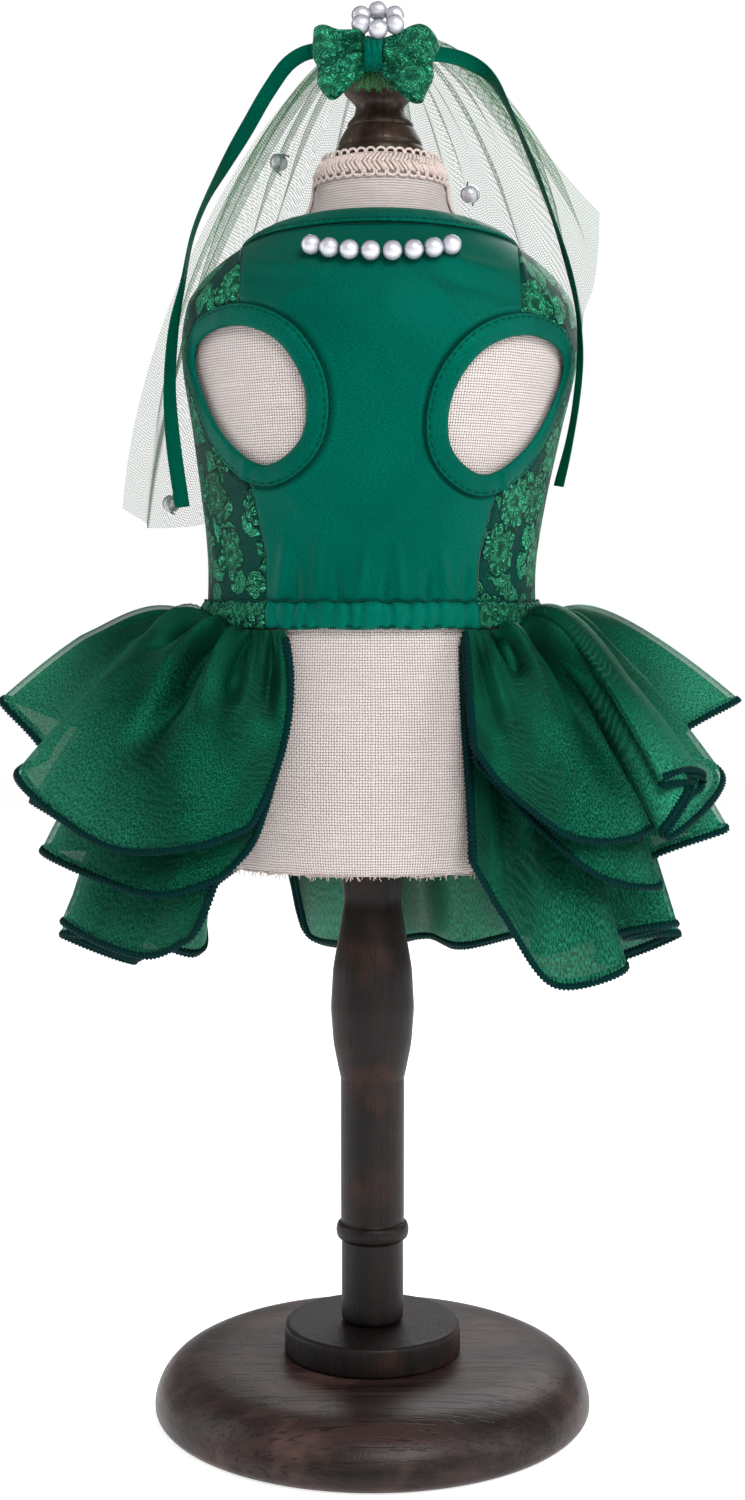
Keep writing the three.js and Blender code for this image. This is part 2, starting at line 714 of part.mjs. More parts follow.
const FINIAL = [
  [0, 498.9],
  [19.2, 498.9],
  [18.6, 501.4],
  [17, 503.4],
  [17, 504.8],
  [15.4, 507.6],
  [13.4, 511],
  [12.6, 512],
  [12.4, 513.4],
  [10.4, 516.4],
  [9.6, 519.3],
  [11, 521.8],
  [14, 524.6],
  [16.4, 528.6],
  [16.6, 532.6],
  [14.6, 538],
  [9.6, 542.2],
  [0, 544],
];
const BASE_TOP = 23.4;
const BOSS_TOP = 35.2;
const BASE = [
  [0, 0],
  [84, 0],
  [86.4, 2.6],
  [86.4, 7],
  [84.4, 13],
  [79.6, 18.6],
  [72, 22.2],
  [62, BASE_TOP],
  [0, BASE_TOP],
];
const BOSS = [
  [0, BASE_TOP + GAP],
  [35, BASE_TOP + GAP],
  [35, BOSS_TOP - 1.2],
  [33.8, BOSS_TOP],
  [0, BOSS_TOP],
];
const POLE = [
  [0, BOSS_TOP + GAP],
  [12.3, BOSS_TOP + GAP],
  [12.3, 67.8],
  [13.8, 69],
  [14.5, 71.6],
  [13.8, 74.2],
  [12.6, 75.4],
  [12.7, 132.4],
  [13.6, 136],
  [15.6, 146],
  [16.6, 160],
  [15.8, 176],
  [13, 192],
  [11.3, 203],
  [12.5, 213],
  [12.7, FORM[0].z - GAP],
  [0, FORM[0].z - GAP],
];

// ---- materials and the assembled group

const finish = (color, roughness) =>
  new THREE.MeshStandardMaterial({ color, roughness, metalness: 0, side: THREE.DoubleSide });
const MATERIALS = {
  satin: finish(0x046b4c, 0.45),
  brocade: finish(0x0f6a38, 0.6),
  organza: finish(0x0a5a33, 0.5),
  tulle: finish(0x7fae86, 0.8),
  pearl: finish(0xe9e9f2, 0.2),
  linen: finish(0xcdbab0, 0.9),
  braid: finish(0xd8bfae, 0.85),
  wood: finish(0x33221c, 0.45),
};

const dress = new THREE.Group();

function add(name, geometry, material) {
  const mesh = new THREE.Mesh(geometry, MATERIALS[material]);
  mesh.name = name;
  dress.add(mesh);
}

add("stand_base", turned(BASE, 36), "wood");
add("stand_boss", turned(BOSS, 28), "wood");
add("stand_pole", turned(POLE, 18), "wood");
add("form_torso", formTorso(), "linen");
add("form_neck_braid", neckBraid(), "braid");
add("form_side_braid_left", sideBraid(-90), "braid");
add("form_side_braid_right", sideBraid(90), "braid");
add("form_finial", turned(FINIAL, 18, FINIAL_LEAN), "wood");

const RAW_EDGE = 2.4; // the cloth stops this far behind the binding's inner edge
const holes = [-1, 1].map((side) => legCutter(side, RAW_EDGE));
const tube = holes.reduce((cloth, hole) => cloth.subtract(hole), solidOf(bodiceTube()));
add("belly_panel", geometryOf(tube.intersect(bellyCutter(0))), "satin");
add("back_panel", geometryOf(tube.subtract(bellyCutter(GAP))), "brocade");
add("neck_binding", neckBinding(), "satin");
add("leg_binding_left", legBinding(-1), "satin");
add("leg_binding_right", legBinding(1), "satin");
add("waist_casing_belly", casing(-CASING.seam, CASING.seam, 9, 27), "satin");
const BACK_CASING = [CASING.seam + CASING.joint, 360 - CASING.seam - CASING.joint];
add("waist_casing_back", casing(...BACK_CASING, 16, 48), "brocade");

for (const tier of Object.keys(TIERS)) add(`skirt_${tier}_tier`, skirtTier(tier), "organza");

add("veil_tulle", tulleVeil(), "tulle");
for (const [name, loop] of Object.entries(BOW_LOOPS)) add(`bow_loop_${name}`, bowLoop(loop), "brocade");
add("bow_knot", bowKnot(), "satin");
for (const name of Object.keys(RIBBONS)) add(`ribbon_${name}`, ribbonTie(name), "satin");

necklacePearls().forEach((pearl, i) => add(`necklace_pearl_${i + 1}`, pearl, "pearl"));
bowPearls().forEach((pearl, i) => add(`bow_pearl_${i + 1}`, pearl, "pearl"));
veilPearls().forEach((pearl, i) => add(`veil_pearl_${i + 1}`, pearl, "pearl"));

export default dress;
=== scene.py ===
import math
import random

import bmesh
import bpy
import numpy as np
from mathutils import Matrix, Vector


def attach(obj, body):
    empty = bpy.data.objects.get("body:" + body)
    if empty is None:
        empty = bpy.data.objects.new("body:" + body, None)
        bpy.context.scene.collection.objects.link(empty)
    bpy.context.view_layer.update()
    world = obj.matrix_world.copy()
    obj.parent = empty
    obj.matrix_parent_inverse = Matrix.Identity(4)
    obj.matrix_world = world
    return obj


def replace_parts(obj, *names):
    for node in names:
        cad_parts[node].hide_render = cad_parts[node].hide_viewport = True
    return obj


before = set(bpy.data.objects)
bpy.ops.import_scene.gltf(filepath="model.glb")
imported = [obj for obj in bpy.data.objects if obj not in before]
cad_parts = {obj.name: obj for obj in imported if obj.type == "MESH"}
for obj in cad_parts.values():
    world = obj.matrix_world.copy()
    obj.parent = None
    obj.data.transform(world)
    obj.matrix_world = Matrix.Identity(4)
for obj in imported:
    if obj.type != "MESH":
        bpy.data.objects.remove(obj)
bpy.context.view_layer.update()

# ---------------------------------------------------------------------------------------------
# The view: a long lens level with the waist of the dress, looking straight at its belly side.
# Soft light comes from a large front panel, one at each side, one behind and a white room.
scene = bpy.context.scene
camera = bpy.data.objects.new("camera", bpy.data.cameras.new("camera"))
scene.collection.objects.link(camera)
scene.camera = camera
camera.data.sensor_width = 36
camera.data.lens = 51.77
camera.data.shift_y = -0.1
camera.location = (0, -0.863, 0.323)
camera.rotation_euler = (math.radians(90), 0, 0)
camera.data.clip_start = 0.05

room = bpy.data.worlds.new("white room")
scene.world = room
room.use_nodes = True
air = room.node_tree.nodes["Background"]
air.inputs["Color"].default_value = (1, 1, 1, 1)
seen = room.node_tree.nodes.new("ShaderNodeLightPath")
strength = room.node_tree.nodes.new("ShaderNodeMapRange")
strength.inputs["To Min"].default_value = 0.25
strength.inputs["To Max"].default_value = 1.0
room.node_tree.links.new(seen.outputs["Is Camera Ray"], strength.inputs["Value"])
room.node_tree.links.new(strength.outputs["Result"], air.inputs["Strength"])
scene.cycles.transparent_max_bounces = 32
scene.view_settings.view_transform = "Standard"
scene.view_settings.look = "None"

LIGHTS = (
    # name, place, aim, width, height, power
    ("front panel", (0.40, -1.18, 1.18), (0, 0, 0.33), 0.7, 0.7, 16),
    ("right panel", (1.2, -0.45, 0.65), (0, 0, 0.33), 0.4, 1.0, 5),
    ("left panel", (-1.2, 0.1, 0.6), (0, 0, 0.33), 0.4, 1.0, 4),
    ("back panel", (0.3, 1.1, 1.0), (0, 0, 0.3), 1.0, 0.8, 8),
)
for name, place, aim, width, height, power in LIGHTS:
    panel = bpy.data.lights.new(name, "AREA")
    panel.shape = "RECTANGLE"
    panel.size, panel.size_y = width, height
    panel.energy = power
    lamp = bpy.data.objects.new(name, panel)
    lamp.location = place
    lamp.rotation_euler = (Vector(aim) - Vector(place)).to_track_quat("-Z", "Y").to_euler()
    scene.collection.objects.link(lamp)

# ---------------------------------------------------------------------------------------------
# The stand: a round base, a boss and a pole, each turned from walnut, stained nearly black and
# lacquered. The pole is screwed into the boss from below, and the boss to the base.
MM = 0.001
rng = random.Random(7)


def tidy_points(points):
    return np.asarray(points, float).reshape(-1, 3)


def make_piece(name, points, faces, material, flat_map=None):
    """A mesh from points in millimetres, with its cloth's or wood's flat map in metres."""
    mesh = bpy.data.meshes.new(name)
    mesh.from_pydata((tidy_points(points) * MM).tolist(), [], faces)
    if flat_map is not None:
        layer = mesh.uv_layers.new(name="flat")
        corners = np.empty(len(mesh.loops), np.int32)
        mesh.loops.foreach_get("vertex_index", corners)
        flat = np.asarray(flat_map, float).reshape(-1, 2)[corners]
        layer.data.foreach_set("uv", flat.astype(np.float32).ravel())
    mesh.materials.append(material)
    mesh.shade_smooth()
    piece = bpy.data.objects.new(name, mesh)
    scene.collection.objects.link(piece)
    return piece


def grid_faces(rows, columns, round_it=False, keep=None):
    """Quads between rows of points, all the way round if round_it, where keep says so."""
    across = columns if round_it else columns - 1
    faces = []
    for row in range(rows - 1):
        for i in range(across):
            if keep is None or keep[row][i]:
                j = (i + 1) % columns
                a, b = row * columns, (row + 1) * columns
                faces.append((a + i, a + j, b + j, b + i))
    return faces


def face_outwards(piece):
    work = bmesh.new()
    work.from_mesh(piece.data)
    bmesh.ops.recalc_face_normals(work, faces=work.faces)
    work.to_mesh(piece.data)
    work.free()


def turned(name, profile, material, sides=96, lean=0.0, steps_per_mm=0.7):
    """A turned piece from (radius, height) rows, foot first, both ends on the axis."""
    outline = [profile[0]]
    for (r0, z0), (r1, z1) in zip(profile, profile[1:]):
        count = max(1, int(math.hypot(r1 - r0, z1 - z0) * steps_per_mm))
        for k in range(1, count + 1):
            outline.append((r0 + (r1 - r0) * k / count, z0 + (z1 - z0) * k / count))
    points, flat = [], []
    run = 0.0
    for k, (r, z) in enumerate(outline):
        if k:
            run += math.hypot(r - outline[k - 1][0], z - outline[k - 1][1])
        for i in range(sides):
            a = 2 * math.pi * i / sides
            points.append((lean + max(r, 0.01) * math.cos(a), max(r, 0.01) * math.sin(a), z))
            flat.append((i / sides, run * MM))
    faces = grid_faces(len(outline), sides, True)
    faces.append(tuple(range(sides)))
    faces.append(tuple(range((len(outline) - 1) * sides, len(outline) * sides)))
    piece = make_piece(name, points, faces, material, flat)
    face_outwards(piece)
    return piece


def rounded(profile, radius, arc=4):
    """The same profile with each inner corner turned to a small round."""
    out = [profile[0]]
    for before, here, after in zip(profile, profile[1:], profile[2:]):
        p, q, s = (Vector(x) for x in (before, here, after))
        reach = min(radius, (p - q).length * 0.45, (s - q).length * 0.45)
        a, b = q + (p - q).normalized() * reach, q + (s - q).normalized() * reach
        for k in range(arc + 1):
            t = k / arc
            out.append(tuple(a * (1 - t) ** 2 + q * 2 * t * (1 - t) + b * t * t))
    return out + [profile[-1]]


def running(points, axis=0):
    """The length run along lines of points up to each one."""
    steps = np.linalg.norm(np.diff(points, axis=axis), axis=-1)
    return np.insert(np.cumsum(steps, axis), 0, 0.0, axis)


def unit(ways, slack=0.0):
    """Ways of length one; slack keeps a way without length from a division by zero."""
    return ways / (np.linalg.norm(ways, axis=-1, keepdims=True) + slack)


def connect(tree, value, socket):
    """Links a pattern to a socket, or sets the socket's own value."""
    if isinstance(value, Wire):
        value = value.socket
    if isinstance(value, bpy.types.NodeSocket):
        tree.links.new(value, socket)
    else:
        socket.default_value = value


class Wire:
    """A number that runs through a node tree, so that a pattern is written as a sum."""

    def __init__(self, tree, socket):
        self.tree, self.socket = tree, socket

    def op(self, kind, *others, clamp=False):
        node = self.tree.nodes.new("ShaderNodeMath")
        node.operation = kind
        node.use_clamp = clamp
        self.tree.links.new(self.socket, node.inputs[0])
        for i, other in enumerate(others, 1):
            connect(self.tree, other, node.inputs[i])
        return Wire(self.tree, node.outputs[0])

    def __add__(self, other):
        return self.op("ADD", other)

    def __sub__(self, other):
        return self.op("SUBTRACT", other)

    def __mul__(self, other):
        return self.op("MULTIPLY", other)

    def __truediv__(self, other):
        return self.op("DIVIDE", other)

    def max(self, other):
        return self.op("MAXIMUM", other)

    def min(self, other):
        return self.op("MINIMUM", other)

    def sine(self):
        return self.op("SINE")

    def size(self):
        return self.op("ABSOLUTE")

    def step(self, low, high):
        """0 below low, 1 above high, smooth between."""
        node = self.tree.nodes.new("ShaderNodeMapRange")
        node.interpolation_type = "SMOOTHSTEP"
        self.tree.links.new(self.socket, node.inputs["Value"])
        node.inputs["From Min"].default_value = low
        node.inputs["From Max"].default_value = high
        return Wire(self.tree, node.outputs["Result"])


def join(tree, kind, settings=(), **sockets):
    """A node with its settings and inputs; a name's underscores stand for spaces."""
    node = tree.nodes.new(kind)
    for key, value in dict(settings).items():
        setattr(node, key, value)
    for key, value in sockets.items():
        connect(tree, value, node.inputs[key.replace("_", " ")])
    return node


def noise(tree, scale, detail, place=None, **more):
    """A cloudy pattern as a number, over a place or flat map, else over the piece's own box."""
    node = join(tree, "ShaderNodeTexNoise", Scale=scale, Detail=detail, **more)
    if place is not None:
        connect(tree, place, node.inputs["Vector"])
    return Wire(tree, node.outputs["Fac"])


def flat_place(tree):
    return join(tree, "ShaderNodeUVMap", {"uv_map": "flat"}).outputs["UV"]


def stretch(tree, place, scale):
    return join(tree, "ShaderNodeMapping", Vector=place, Scale=scale).outputs[0]


def split(tree, place):
    """The three numbers of a place."""
    return [Wire(tree, output) for output in join(tree, "ShaderNodeSeparateXYZ", Vector=place).outputs]


def place_sum(tree, kind, *values, **named):
    """A sum, difference, product or scale of whole places."""
    node = join(tree, "ShaderNodeVectorMath", {"operation": kind}, **named)
    for i, value in enumerate(values):
        connect(tree, value, node.inputs[i])
    return node.outputs[0]


def blend_colour(tree, share, first, second):
    node = join(tree, "ShaderNodeMix", {"data_type": "RGBA"})
    for slot, value in ((0, share), (6, first), (7, second)):
        connect(tree, (*value, 1) if isinstance(value, tuple) else value, node.inputs[slot])
    return node.outputs[2]


def effect(name, takes, gives):
    """An empty node group with named inputs (name, kind, value) and outputs (name, kind)."""
    group = bpy.data.node_groups.new(name, "ShaderNodeTree")
    for label, kind, value in takes:
        socket = group.interface.new_socket(label, in_out="INPUT", socket_type="NodeSocket" + kind)
        if value is not None:
            socket.default_value = value
    for label, kind in gives:
        group.interface.new_socket(label, in_out="OUTPUT", socket_type="NodeSocket" + kind)
    source = group.nodes.new("NodeGroupInput")
    result = group.nodes.new("NodeGroupOutput")
    return group, source, result


def place_effect(tree, group, **values):
    return join(tree, "ShaderNodeGroup", {"node_tree": group}, **values)


def finish(name, **values):
    """A material and its Principled shader, with the values that are the same all over."""
    material = bpy.data.materials.new(name)
    material.use_nodes = True
    shader = material.node_tree.nodes["Principled BSDF"]
    for key, value in values.items():
        shader.inputs[key.replace("_", " ")].default_value = value
    return material, material.node_tree, shader


def feed(tree, shader, bump=None, depth=0.0, **sockets):
    """Links patterns to the shader's sockets, and a height to its normal."""
    for key, value in sockets.items():
        connect(tree, value, shader.inputs[key.replace("_", " ")])
    if bump is not None:
        node = join(tree, "ShaderNodeBump", Strength=1.0, Distance=depth, Height=bump)
        tree.links.new(node.outputs["Normal"], shader.inputs["Normal"])


def fibrous(name, scale, detail, depth, dark, light, **values):
    """A thread's or board's material: fibres as fine noise between two tones."""
    material, tree, shader = finish(name, **values)
    fibres = noise(tree, scale, detail)
    feed(tree, shader, bump=fibres, depth=depth, Base_Color=blend_colour(tree, fibres, dark, light))
    return material


# Long grain: streaks that run one way, pores along them, and patches where the stain took less.
grain, source, result = effect(
    "wood grain",
    (("Place", "Vector", None), ("Grain", "Float", 260.0), ("Length", "Float", 14.0)),
    (("Stain", "Float"), ("Pores", "Float"), ("Worn", "Float")),
)
x, y, z = split(grain, source.outputs["Place"])
across = Wire(grain, source.outputs["Grain"])
lengthways = Wire(grain, source.outputs["Length"])
stretched = join(grain, "ShaderNodeCombineXYZ", X=x * across, Y=y * across, Z=z * lengthways).outputs[0]
streaks = noise(grain, 0.35, 5.0, stretched, Roughness=0.65)
pores = noise(grain, 2.6, 2.0, stretched)
patches = noise(grain, 26.0, 3.0, source.outputs["Place"], Roughness=0.6)
connect(grain, streaks.step(0.3, 0.72), result.inputs["Stain"])
connect(grain, pores.step(0.55, 0.68), result.inputs["Pores"])
connect(grain, patches.step(0.5, 0.75), result.inputs["Worn"])


def stained_wood(name, turn, dark, mid, worn, roughness, grain_size=260.0):
    """Stained wood; turn lays the grain, which runs along local Z, the way the blank was cut."""
    material, tree, shader = finish(
        name, Coat_Weight=0.08, Coat_Roughness=0.3, IOR=1.4, Specular_IOR_Level=0.32,
    )
    place = join(tree, "ShaderNodeTexCoord").outputs["Object"]
    laid = join(tree, "ShaderNodeMapping", Vector=place, Rotation=turn)
    fibres = place_effect(tree, grain, Place=laid.outputs[0], Grain=grain_size)
    streaks, pores, rubbed = (Wire(tree, output) for output in fibres.outputs)
    colour = blend_colour(tree, streaks, dark, mid)
    colour = blend_colour(tree, rubbed * 0.55, colour, worn)
    colour = blend_colour(tree, pores * 0.6, colour, tuple(c * 0.4 for c in dark))
    grit = noise(tree, 900.0, 2.0, place)
    rough = rubbed * 0.12 + grit * 0.12 + roughness
    height = streaks * 0.5 - pores * 0.5 + grit * 0.5
    feed(tree, shader, bump=height, depth=0.00022, Base_Color=colour, Roughness=rough)
    return material


plank_wood = stained_wood(
    "stained plank", (0, math.radians(90), math.radians(12)),
    (0.007, 0.004, 0.003), (0.050, 0.027, 0.024), (0.170, 0.095, 0.080), 0.34,
)
pole_wood = stained_wood(
    "stained pole", (0, 0, 0),
    (0.003, 0.0015, 0.0015), (0.011, 0.006, 0.005), (0.080, 0.030, 0.015), 0.45, 420.0,
)

base = turned("stand_base_turned", rounded((
    (0, 0), (84, 0), (86.4, 2.6), (86.4, 7), (84.4, 13), (79.6, 18.6), (72, 22.2), (62, 23.4), (0, 23.4),
), 5, 6), plank_wood, 160)
boss = turned("stand_boss_turned", rounded((
    (0, 23.7), (35, 23.7), (35, 34.2), (33.8, 35.2), (0, 35.2),
), 1.0), pole_wood, 120)
pole = turned("stand_pole_turned", rounded((
    (0, 35.5), (12.3, 35.5), (12.3, 67.8), (12.9, 68.3), (14.0, 69), (14.6, 71.6), (13.9, 74.3), (12.4, 75.2),
    (12.6, 77), (12.7, 132.4), (12.9, 133), (13.7, 136.5), (15.6, 146), (16.7, 160), (15.8, 176), (13, 192),
    (11.3, 203), (12.5, 213), (12.7, 218.3), (0, 218.3),
), 2.4, 5), pole_wood, 80)
for piece, node in ((base, "stand_base"), (boss, "stand_boss"), (pole, "stand_pole")):
    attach(piece, "root")
    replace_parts(piece, node)

# ---------------------------------------------------------------------------------------------
# The form: a limbless padded torso under coarse natural linen, cut off flat below, where the
# cover's raw edge frays over a dark board. The dress, veil and braids all lie on its surface.
FORM = (
    # height, half width, depth to the belly, depth to the back, lean to the right
    (218.6, 62, 50, 51, 0), (224, 65.5, 53.5, 54.5, 0), (250, 69, 54, 57, 0), (280, 68.5, 52, 55, 0),
    (305, 65.4, 49, 51, -0.2), (322, 63.8, 48, 49, -0.3), (340, 64.2, 49, 50, 0), (363, 67.2, 53, 53, 0.6),
    (390, 71.8, 58, 56, 1.8), (417, 77, 60, 58, 2.8), (434, 76.5, 58, 58, 3), (446, 71.5, 54, 56.5, 3),
    (455, 63, 48.5, 53, 3), (463, 51.5, 42, 46, 3.1), (469, 40, 35, 37, 3.1), (475, 30, 28.5, 29, 3.2),
    (481, 26.6, 26.2, 26.2, 3.2), (488, 25.6, 25.6, 25.6, 3.2), (492.5, 25, 25, 25, 3.2),
    (496, 22.8, 22.8, 22.8, 3.2), (498.6, 19.4, 19.4, 19.4, 3.2),
)
form_table = np.array(FORM, float)
FINIAL_LEAN = 3.2


def column(table, index, place):
    """A column of a table read smoothly between its rows, for one place or many."""
    place = np.asarray(place, float)
    last = len(table) - 1
    row = np.clip(np.floor(place).astype(int), 0, last - 1)
    value = lambda i: table[np.clip(i, 0, last), index]
    a, b, c, d = value(row - 1), value(row), value(row + 1), value(row + 2)
    t = place - row
    return b + t * (c - a + t * (2 * a - 5 * b + 4 * c - d + t * (3 * b - a - 3 * c + d))) / 2


def place_of(z):
    z = np.asarray(z, float)
    low, high = np.zeros(z.shape), np.full(z.shape, len(form_table) - 1.0)
    for _ in range(30):
        middle = (low + high) / 2
        under = column(form_table, 0, middle) < z
        low, high = np.where(under, middle, low), np.where(under, high, middle)
    return (low + high) / 2


def form_point(place, turn):
    a = np.radians(turn)
    depth = np.where(np.cos(a) > 0, column(form_table, 2, place), column(form_table, 3, place))
    lean = column(form_table, 4, place)
    return np.stack([
        lean + column(form_table, 1, place) * np.sin(a),
        -depth * np.cos(a),
        column(form_table, 0, place),
    ], -1)


def skin(z, turn, off):
    """Points at a height and a turn round the form, so far out from it."""
    z, turn, off = np.broadcast_arrays(np.asarray(z, float), turn, off)
    place = place_of(z)
    up = form_point(place + 0.02, turn) - form_point(place - 0.02, turn)
    around = form_point(place, turn + 1) - form_point(place, turn - 1)
    return form_point(place, turn) + unit(np.cross(around, up)) * off[..., None]


# Plain weave: warp and weft pass over and under each other, some threads thicker than others.
weave, source, result = effect(
    "plain weave",
    (("Flat", "Vector", None), ("Pitch", "Float", 0.001), ("Slub", "Float", 0.3)),
    (("Height", "Float"), ("Thread", "Float")),
)
slub = noise(weave, 160.0, 2.0, source.outputs["Flat"])
wobble = (slub - 0.5) * Wire(weave, source.outputs["Slub"])
pitch = Wire(weave, source.outputs["Pitch"])
u, v = ((line / pitch + wobble) * math.pi for line in split(weave, source.outputs["Flat"])[:2])
warp_over = u.sine() * v.sine()
warp_height = (warp_over.step(-0.6, 0.6) * 0.6 + 0.4) * u.sine().size().step(0.0, 0.75)
weft_height = ((warp_over * -1.0).step(-0.6, 0.6) * 0.6 + 0.4) * v.sine().size().step(0.0, 0.75)
connect(weave, warp_height.max(weft_height), result.inputs["Height"])
connect(weave, slub, result.inputs["Thread"])

linen, tree, shader = finish(
    "natural linen", Roughness=0.9, Sheen_Weight=0.25, Sheen_Roughness=0.5, Specular_IOR_Level=0.25,
)
flat = flat_place(tree)
cloth = place_effect(tree, weave, Flat=flat, Pitch=0.00105, Slub=0.5)
height = Wire(tree, cloth.outputs["Height"])
slubs = noise(tree, 1.0, 2.0, stretch(tree, flat, (40.0, 900.0, 1.0)))
# The weave's low places are painted near black and its raised threads pale: painted shade between and under
# the threads.
tone = blend_colour(tree, height.step(0.2, 0.85), (0.11, 0.080, 0.070), (0.81, 0.710, 0.685))
tone = blend_colour(tree, slubs.step(0.58, 0.75) * 0.5, tone, (0.90, 0.83, 0.78))
tone = blend_colour(tree, slubs.op("MULTIPLY", -1.0).step(-0.42, -0.28) * 0.35, tone, (0.56, 0.46, 0.41))
feed(tree, shader, bump=height + slubs * 0.5, depth=0.0007, Base_Color=tone)

ROUND = 1.18  # cloth millimetres in one degree round the form, near enough everywhere


def torso_surface():
    rows = np.concatenate([np.linspace(0, 1, 5), np.linspace(1, 20, 120)[1:]])
    turns = np.linspace(0, 360, 161)
    place, turn = np.meshgrid(rows, turns, indexing="ij")
    points = form_point(place, turn)
    flat_map = np.stack([turn * ROUND, points[..., 2]], -1) * MM
    return points, flat_map, grid_faces(*place.shape)


points, flat_map, faces = torso_surface()
torso = make_piece("form_linen_cover", points, faces, linen, flat_map)
seam_weld = torso.modifiers.new("weld", "WELD")
seam_weld.merge_threshold = 0.00002
board_dark = fibrous(
    "form board", 400.0, 3.0, 0.0003, (0.01, 0.008, 0.007), (0.05, 0.04, 0.035), Roughness=0.8,
)
SIDES = 120
turns = np.linspace(0, 360, SIDES + 1)[:-1]
rim = form_point(np.zeros(SIDES), turns)
inner = rim * (0.94, 0.94, 1) + (0, 0, 0.5)
centre = [[0, 0, 219.4]]
board = make_piece("form_board", np.concatenate([rim, inner, centre]), (
    grid_faces(2, SIDES, True) + [(SIDES + i, SIDES + (i + 1) % SIDES, 2 * SIDES) for i in range(SIDES)]
), board_dark)


def sweep(paths, closed_path=True, closed_section=True):
    """Points (steps, corners, 3) to faces of a swept band."""
    steps, corners = paths.shape[:2]
    faces = []
    for i in range(steps if closed_path else steps - 1):
        for k in range(corners if closed_section else corners - 1):
            a, b = i * corners, ((i + 1) % steps) * corners
            faces.append((a + k, a + (k + 1) % corners, b + (k + 1) % corners, b + k))
    if not closed_path and closed_section:
        faces.append(tuple(range(corners))[::-1])
        faces.append(tuple((steps - 1) * corners + k for k in range(corners)))
    return faces


def thread_mesh(lines, radius, corners=6, taper=False):
    """Points and faces of many threads, each a line of points in millimetres."""
    points, faces = [], []
    for line in lines:
        line = np.asarray(line, float)
        along = unit(np.gradient(line, axis=0), 1e-9)
        aside = unit(np.cross(along, (0.31, 0.47, 0.83)), 1e-9)
        other = np.cross(along, aside)
        angle = np.linspace(0, 2 * math.pi, corners + 1)[:-1]
        size = np.full(len(line), radius)
        if taper:
            size = radius * (0.25 + 0.75 * np.sin(np.linspace(0.12, math.pi - 0.12, len(line))))
        cosine, sine = np.cos(angle)[None, :, None], np.sin(angle)[None, :, None]
        rings = line[:, None] + (aside[:, None] * cosine + other[:, None] * sine) * size[:, None, None]
        start = len(points)
        points += rings.reshape(-1, 3).tolist()
        faces += [tuple(start + i for i in face) for face in sweep(rings, False)]
    return points, faces


def raw_edge_threads(hanging=520, lying=70):
    """Short threads that hang from the linen's cut edge, and longer ones that lie along it."""
    lines = []
    for _ in range(hanging):
        turn = rng.uniform(0, 360)
        length = rng.uniform(0.6, 3.0)
        drift = rng.uniform(-1.2, 1.2)
        start = skin(219.6, turn, -0.1)
        line = []
        for t in (0, 0.35, 0.7, 1.0):
            curl = np.array([0.25 * math.sin(5 * t + turn), 0.25 * math.cos(4 * t + turn), 0])
            line.append(start + (drift * t, 0, -length * t) + curl)
        lines.append(line)
    for _ in range(lying):
        turn = rng.uniform(0, 360)
        span = rng.uniform(3, 9)
        droop = rng.uniform(0.2, 1.0)
        lines.append([
            skin(219.2, turn + span * t, 0.15) - (0, 0, droop * math.sin(math.pi * t))
            for t in np.linspace(0, 1, 7)
        ])
    return lines


thread = fibrous(
    "linen thread", 1500.0, 2.0, 0.0001, (0.42, 0.33, 0.30), (0.72, 0.64, 0.60),
    Roughness=0.85, Sheen_Weight=0.3,
)
points, faces = thread_mesh(raw_edge_threads(), 0.16, 4)
fray = make_piece("form_frayed_edge", points, faces, thread)
for piece in (torso, board, fray):
    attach(piece, "root")
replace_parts(torso, "form_torso")

# ---------------------------------------------------------------------------------------------
# The neck cap and finial: one turned piece of the same stained wood, with two beads cut in its
# foot and a round knob, dowelled into the top of the form's neck.
finial_wood = stained_wood(
    "stained finial", (0, 0, 0),
    (0.012, 0.006, 0.004), (0.060, 0.033, 0.022), (0.240, 0.150, 0.105), 0.30, 420.0,
)
finial = turned("form_finial_turned", rounded((
    (0, 498.9), (19.0, 498.9), (18.8, 500.4), (18.3, 502.2), (17.4, 503.3), (16.6, 503.6), (16.9, 504.9),
    (16.3, 506.6), (15.0, 509), (13.9, 510.9), (13.0, 511.5), (13.4, 512.4), (13.0, 513.6), (11.4, 515.4),
    (10.2, 517.2), (9.7, 519.3), (10.2, 521.0), (11.5, 522.4), (14, 524.8), (16.2, 528.6), (16.6, 532.6),
    (14.6, 538), (9.6, 542.2), (0, 544),
), 0.9, 4), finial_wood, 96, FINIAL_LEAN, 1.5)
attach(finial, "root")
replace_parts(finial, "form_finial")

# ---------------------------------------------------------------------------------------------
# Gimp braid: glued round the top of the neck, two rows of slanted cords between looped edges, and
# a narrow twisted braid down each side over the seams of the linen cover.
braid_cotton, tree, shader = finish("braid cotton", Roughness=0.75, Sheen_Weight=0.35, Specular_IOR_Level=0.3)
place = join(tree, "ShaderNodeTexCoord").outputs["Object"]
strands = noise(tree, 1900.0, 2.0, place)
blotch = noise(tree, 150.0, 2.0, place)
tone = blend_colour(tree, strands.step(0.3, 0.7), (0.50, 0.38, 0.34), (0.80, 0.69, 0.64))
tone = blend_colour(tree, blotch.step(0.5, 0.7) * 0.4, tone, (0.62, 0.49, 0.44))
feed(tree, shader, bump=strands, depth=0.00025, Base_Color=tone)


